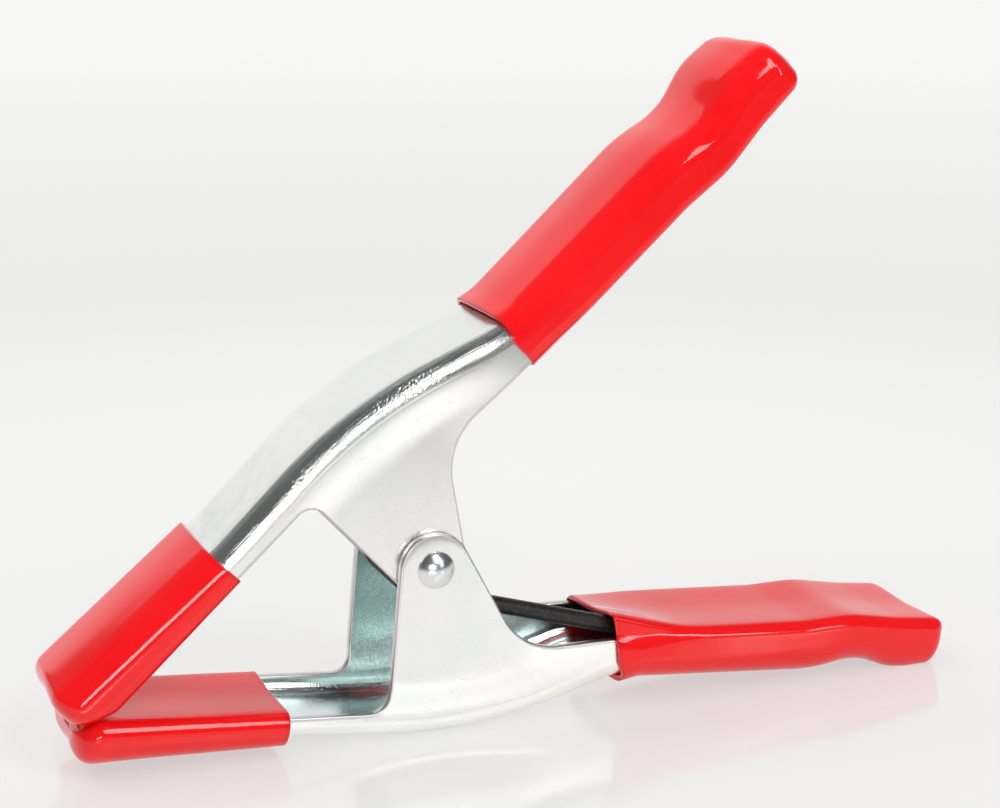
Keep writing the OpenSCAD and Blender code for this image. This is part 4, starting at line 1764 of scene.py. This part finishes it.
@dataclass(frozen=True)
class HandleGrip(Sleeve):
    """Grip of one handle: it follows waist and flare, and its near wall is lifted on one side
    by the spring's leg, which leaves the channel over the flange at the mouth.

    Attributes:
        skew, skew_run: How far the rim is drawn towards the jaws over the leg, and how far
            from the mouth that begins.
        leg_room: Gap between the leg and the wall's inside.
        lift_run, lift_round: Where along u the wall rises over the leg, and the square that
            rounds where the rise begins.
        mouth_round, mouth_round_far: Growth of the corner's radius towards the mouth, on the
            leg's side and on the other.
        round_run: Where along u it grows.
        mouth_set, mouth_run: How far the rim's back lies behind its front, and how far from
            the mouth that begins.
        flare, flare_run: How much the flared end stands out at the back, and where along u.
    """

    near_r: float = 2.7
    skew: float = 2.4
    skew_run: float = 9.0
    leg_room: float = 0.15
    lift_run: Span = (96.0, 56.0)
    lift_round: float = 1.0
    mouth_round: float = 3.6
    mouth_round_far: float = 1.2
    round_run: Span = (68.0, 48.0)
    mouth_set: float = 1.5
    mouth_run: float = 8.0
    flare: float = 0.8
    flare_run: Span = (112.0, 124.0)
    way: ClassVar[int] = 1
    kind: ClassVar[str] = "grip_sleeve"
    cad_node: ClassVar[str] = "grip"

    @property
    def mouth(self) -> float:
        """Reach of the mouth from the pivot."""
        return SIZES.grip_mouth

    @property
    def steel_reach(self) -> float:
        """Reach of the steel inside, with its gap."""
        return SIZES.handle_reach + SIZES.vinyl_gap

    def _near(self, u: np.ndarray, wall: np.ndarray) -> np.ndarray:
        """Near wall, which follows the flange's edge."""
        return PROFILE.handle_edge_at(self.side, u) - SIZES.vinyl_gap - wall

    def _near_r_at(self, u: np.ndarray, side: int) -> np.ndarray:
        """Corner radius, which grows towards the mouth, most where the leg stretches the wall."""
        growth = self.mouth_round if side > 0 else self.mouth_round_far
        return self.near_r + growth * eased(u, *self.round_run)

    def _leg_near(self, u: np.ndarray) -> np.ndarray:
        """The leg's side that faces the pivot line: its middle line less the wire's radius."""
        slope = math.radians(SIZES.leg_slope)
        return (SIZES.coil_r - SIZES.wire_d / 2.0) / math.cos(slope) + u * math.tan(slope)

    def _lifted(self, rings: SleeveRings, points: np.ndarray) -> np.ndarray:
        """Lifts the near wall over the leg, and draws the mouth's rim towards the jaws there.

        The lift grows evenly across the grip from nothing at its far flank, and fades from the
        near wall to nothing where the back's bend begins. It is what the leg needs, or nothing
        where the steel leaves room, rounded between the two like the jaw covers' bevel.

        Args:
            rings: The rings.
            points: Their points.

        Returns:
            The moved points.
        """
        s = SIZES
        u, wall = rings.u[:, None], rings.wall[:, None]
        skew = self.skew * eased(u, self.mouth + self.skew_run, self.mouth)
        half = PROFILE.half_width(u) + s.vinyl_gap + wall
        leg_share = (s.leg_y + half) / (2.0 * half)
        near = self._near(u, wall)
        need = near + wall - self._leg_near(u - skew * leg_share) + self.leg_room
        lift = (need + np.sqrt(need**2 + self.lift_round)) / 2.0
        lift = lift / leg_share * eased(u, *self.lift_run)
        bend = PROFILE.back(u) - s.bend_r
        across = (points[..., 1] + half) / (2.0 * half)
        share = across * np.clip((bend - points[..., 2]) / (bend - near), 0.0, 1.0)
        moved = points.copy()
        moved[..., 0] -= skew * share
        moved[..., 2] -= lift * share
        return moved

    def _stretched(self, rings: SleeveRings, points: np.ndarray) -> np.ndarray:
        """Lifts the near wall, sets the rim's back behind its front, and flares the end.

        Both of the last grow smoothly from the middle of the flanks to the back.

        Args:
            rings: The rings.
            points: Their points.

        Returns:
            The moved points.
        """
        u = rings.u[:, None]
        moved = self._lifted(rings, points)
        back = PROFILE.back(u)
        middle = (back + PROFILE.handle_edge_at(self.side, u)) / 2.0
        back_side = eased(moved[..., 2], middle, back)
        moved[..., 0] += self.mouth_set * back_side * eased(u, self.mouth + self.mouth_run, self.mouth)
        moved[..., 2] += self.flare * back_side * eased(u, *self.flare_run)
        return moved

    def _rested(self, points: np.ndarray) -> np.ndarray:
        """Presses the lower grip flat where it rests on the bench.

        Args:
            points: Points (..., 3) in arm coordinates.

        Returns:
            The points, with those below the bench raised to it.
        """
        if self.side is Side.UPPER:
            return points
        height = Placement.of(self.side).points(points)[..., 2]
        moved = points.copy()
        moved[..., 2] += np.minimum(height, 0.0) / math.cos(math.radians(SIZES.bench_tilt))
        return moved


# ---------------------------------------------------------------- studio


@dataclass(frozen=True)
class Softbox:
    """A rectangular lamp: where it stands from the pivot in metres, its size and its power,
    and whether polished faces mirror it."""

    name: str
    offset: tuple[float, float, float]
    size: Span
    power: float
    mirrored: bool = True


@dataclass(frozen=True)
class Studio:
    """Camera, lamps, world and floor.

    Each shade or fade is what Wiring.level takes: the range it reads, and the range it gives.

    Attributes:
        camera_offset: Place of the camera from the pivot, in metres.
        clip: Nearest and farthest distance that the camera sees, in metres.
        dark_front, dark_side, dark_above: How dark the room is in front by Y, on the left by
            X and above by Z.
        front_foot: By Z, where the room's dark front stands on its floor.
        rooms: Colours of the surroundings from no shade to full shade.
        floor_share, floor_glow: Share of the floor's colour that is lit, and how strongly it
            glows, for the camera.
        mirror_share, mirror_glow: The same in mirroring faces.
        mirror_fade: By Y, how the glow that is mirrored falls off in front.
        far_fade: The same for the far floor's glow.
        far_blend, far_tone: By distance, where the floor turns to a plain glow, and where its
            tone goes over from near_tone to the backdrop's.
    """

    camera_offset: tuple[float, float, float] = (-0.153917, -0.434548, 0.145098)
    camera_azimuth: float = 21.924
    camera_elevation: float = 13.646
    camera_roll: float = 0.338
    lens: float = 78.19
    sensor: float = 36.0
    clip: Span = (0.01, 20.0)
    dark_front: tuple[float, ...] = (0.82, 0.25, 0.0, 0.75)
    dark_side: tuple[float, ...] = (-0.325, -0.41, 0.0, 0.66)
    dark_above: tuple[float, ...] = (0.20, 0.50, 0.0, 0.07)
    front_foot: Span = (-0.10, 0.02)
    rooms: Stops = ((0.0, (0.97, 0.97, 0.965)), (0.75, (0.12, 0.125, 0.13)), (1.0, (0.10, 0.105, 0.11)))
    backdrop_tone: Colour = (0.93, 0.93, 0.925)
    floor_tone: Colour = (0.85, 0.845, 0.84)
    near_tone: Colour = (0.83, 0.83, 0.82)
    floor_share: float = 0.28
    floor_glow: float = 0.66
    mirror_share: float = 0.55
    mirror_glow: float = 0.61
    mirror_fade: tuple[float, ...] = (-0.46, -0.12, 0.25, 1.0)
    far_fade: tuple[float, ...] = (-0.56, -0.12, 0.25, 1.0)
    far_blend: Span = (0.10, 0.55)
    far_tone: Span = (0.15, 2.2)
    floor_reach: float = 3.0
    lamps: tuple[Softbox, ...] = (
        Softbox("key_softbox", (-0.195, -0.95, 0.157), (0.39, 0.13), 1.8),
        Softbox("fill_softbox", (0.245, -0.84, 0.79), (0.35, 0.62), 5.2),
        Softbox("grip_strip", (0.515, -0.80, 0.38), (0.07, 0.56), 1.1),
        Softbox("top_softbox", (-0.60, 0.05, 1.15), (1.2, 1.0), 11.0, False),
    )

    def camera(self) -> None:
        """Places the camera: rolled about its view, tilted down, then turned about Z."""
        data = bpy.data.cameras.new("camera")
        data.lens, data.sensor_width, data.sensor_fit = self.lens, self.sensor, "HORIZONTAL"
        data.clip_start, data.clip_end = self.clip
        camera = added("camera", data)
        camera.matrix_world = (
            Matrix.Translation(PIVOT + Vector(self.camera_offset))
            @ Matrix.Rotation(-math.radians(self.camera_azimuth), 4, "Z")
            @ Matrix.Rotation(math.radians(90.0 - self.camera_elevation), 4, "X")
            @ Matrix.Rotation(math.radians(self.camera_roll), 4, "Z")
        )
        bpy.context.scene.camera = camera

    def light(self) -> None:
        """Hangs the softboxes, each turned to the pivot and hidden from the camera."""
        for lamp in self.lamps:
            data = bpy.data.lights.new(lamp.name, "AREA")
            data.shape, data.size, data.size_y = "RECTANGLE", *lamp.size
            data.energy = lamp.power
            obj = added(lamp.name, data)
            obj.location = PIVOT + Vector(lamp.offset)
            obj.rotation_euler = (-Vector(lamp.offset)).to_track_quat("-Z", "Y").to_euler()
            obj.visible_camera = False
            obj.visible_glossy = lamp.mirrored

    def world(self) -> None:
        """White surroundings that end on the left, with a dark room high in front, which the
        polished bends pick up. The camera sees the backdrop's plain tone."""
        world = bpy.data.worlds.new("studio")
        world.use_nodes = True
        wiring = Wiring(world.node_tree)
        wiring.tree.nodes.clear()
        way = wiring.node("ShaderNodeTexCoord").outputs["Generated"]
        parts = wiring.node("ShaderNodeSeparateXYZ", {"Vector": way}).outputs
        front = wiring.level(parts["Y"], *self.dark_front)
        side = wiring.level(parts["X"], *self.dark_side)
        above = wiring.level(parts["Z"], *self.dark_above)
        ahead = wiring.level(parts["Z"], *self.front_foot)
        shade = wiring.greater(wiring.greater(wiring.product(front, ahead), above), side)
        room = wiring.ramp(shade, self.rooms)
        seen = wiring.node("ShaderNodeBackground", {"Color": opaque(self.backdrop_tone), "Strength": 1.0})
        lit = wiring.node("ShaderNodeBackground", {"Color": room, "Strength": 1.0})
        camera_ray = wiring.node("ShaderNodeLightPath").outputs["Is Camera Ray"]
        inputs = {"Fac": camera_ray, 1: lit.outputs[0], 2: seen.outputs[0]}
        both = wiring.node("ShaderNodeMixShader", inputs)
        wiring.feed(wiring.node("ShaderNodeOutputWorld"), Surface=both.outputs[0])
        bpy.context.scene.world = world

    def _floor_gloss(self, wiring: Wiring, shader: bpy.types.Node, rays: Outputs, y: Socket) -> None:
        """Gives the floor its lit share and its glow, for the camera and for mirroring faces.

        Args:
            wiring: The material's wiring.
            shader: Its Principled shader.
            rays: Outputs of Light Path.
            y: Place along Y.
        """
        camera, glossy = rays["Is Camera Ray"], rays["Is Glossy Ray"]
        direct, mirrored = wiring.product(camera, self.floor_share), wiring.product(glossy, self.mirror_share)
        own = wiring.total(direct, mirrored)
        unseen = wiring.calc("SUBTRACT", 1.0, wiring.greater(camera, glossy))
        colour = wiring.mixed(wiring.total(own, unseen), opaque((0.0, 0.0, 0.0)), opaque(self.floor_tone))
        faded = wiring.product(wiring.product(glossy, self.mirror_glow), wiring.level(y, *self.mirror_fade))
        glow = wiring.total(wiring.product(camera, self.floor_glow), faded)
        wiring.feed(shader, Base_Color=colour, Emission_Strength=glow)

    def _floor_material(self) -> bpy.types.Material:
        """Pale gloss near the object that turns to a plain glow away from it, where the tone
        goes over into the backdrop's.

        Returns:
            The floor's material.
        """
        material, wiring, shader = new_material(
            "floor_gloss", Roughness=0.12, Specular_IOR_Level=0.25, Emission_Color=opaque(self.floor_tone)
        )
        place, rays = wiring.place(), wiring.node("ShaderNodeLightPath").outputs
        y = wiring.node("ShaderNodeSeparateXYZ", {"Vector": place}).outputs["Y"]
        self._floor_gloss(wiring, shader, rays, y)
        far = wiring.node("ShaderNodeVectorMath", {0: place}, operation="LENGTH").outputs["Value"]
        seen = wiring.greater(rays["Is Camera Ray"], rays["Is Glossy Ray"])
        fade = wiring.product(wiring.level(far, *self.far_blend), seen)
        tones = ((0.0, self.near_tone), (1.0, self.backdrop_tone))
        tone = wiring.ramp(wiring.level(far, *self.far_tone), tones)
        strength = wiring.greater(wiring.level(y, *self.far_fade), rays["Is Camera Ray"])
        glow = wiring.node("ShaderNodeEmission", {"Color": tone, "Strength": strength})
        both = wiring.node("ShaderNodeMixShader", {"Fac": fade, 1: shader.outputs[0], 2: glow.outputs[0]})
        out = next(n for n in wiring.tree.nodes if n.type == "OUTPUT_MATERIAL")
        wiring.feed(out, Surface=both.outputs[0])
        return material

    def floor(self) -> None:
        """Lays the floor: a grid of two by two squares about the origin."""
        grid = np.linspace(-self.floor_reach, self.floor_reach, 3)
        x, y = np.meshgrid(grid, grid, indexing="ij")
        points = np.stack([x, y, np.zeros_like(x)], axis=2).reshape(-1, 3)
        corner = np.array([0, 1, 3, 4])
        quads = np.stack([corner, corner + 3, corner + 4, corner + 1], axis=1)
        mesh = bpy.data.meshes.new("floor")
        mesh.from_pydata(points.tolist(), [], quads.tolist())
        mesh.materials.append(self._floor_material())
        added("floor", mesh)


def main() -> None:
    """Builds the studio and every piece, and reports each one."""
    logging.basicConfig(level=logging.INFO, format="%(name)s %(message)s")
    bpy.context.scene.view_settings.view_transform = "Standard"
    studio = Studio()
    studio.camera()
    studio.light()
    studio.world()
    studio.floor()

    effects = SharedEffects()
    zinc, vinyl = ZincPlate(effects), DippedVinyl(effects)
    pieces = [
        PressedArm(Side.LOWER, zinc),
        PressedArm(Side.UPPER, zinc),
        PivotRivet(RivetSteel(effects)),
        TorsionSpring(SpringWire(effects)),
        JawCover(Side.LOWER, vinyl),
        JawCover(Side.UPPER, vinyl),
        HandleGrip(Side.LOWER, vinyl, mouth_set=2.2),
        HandleGrip(Side.UPPER, vinyl),
    ]
    for piece in pieces:
        piece.dress(piece.build())


if __name__ == "__main__":
    main()
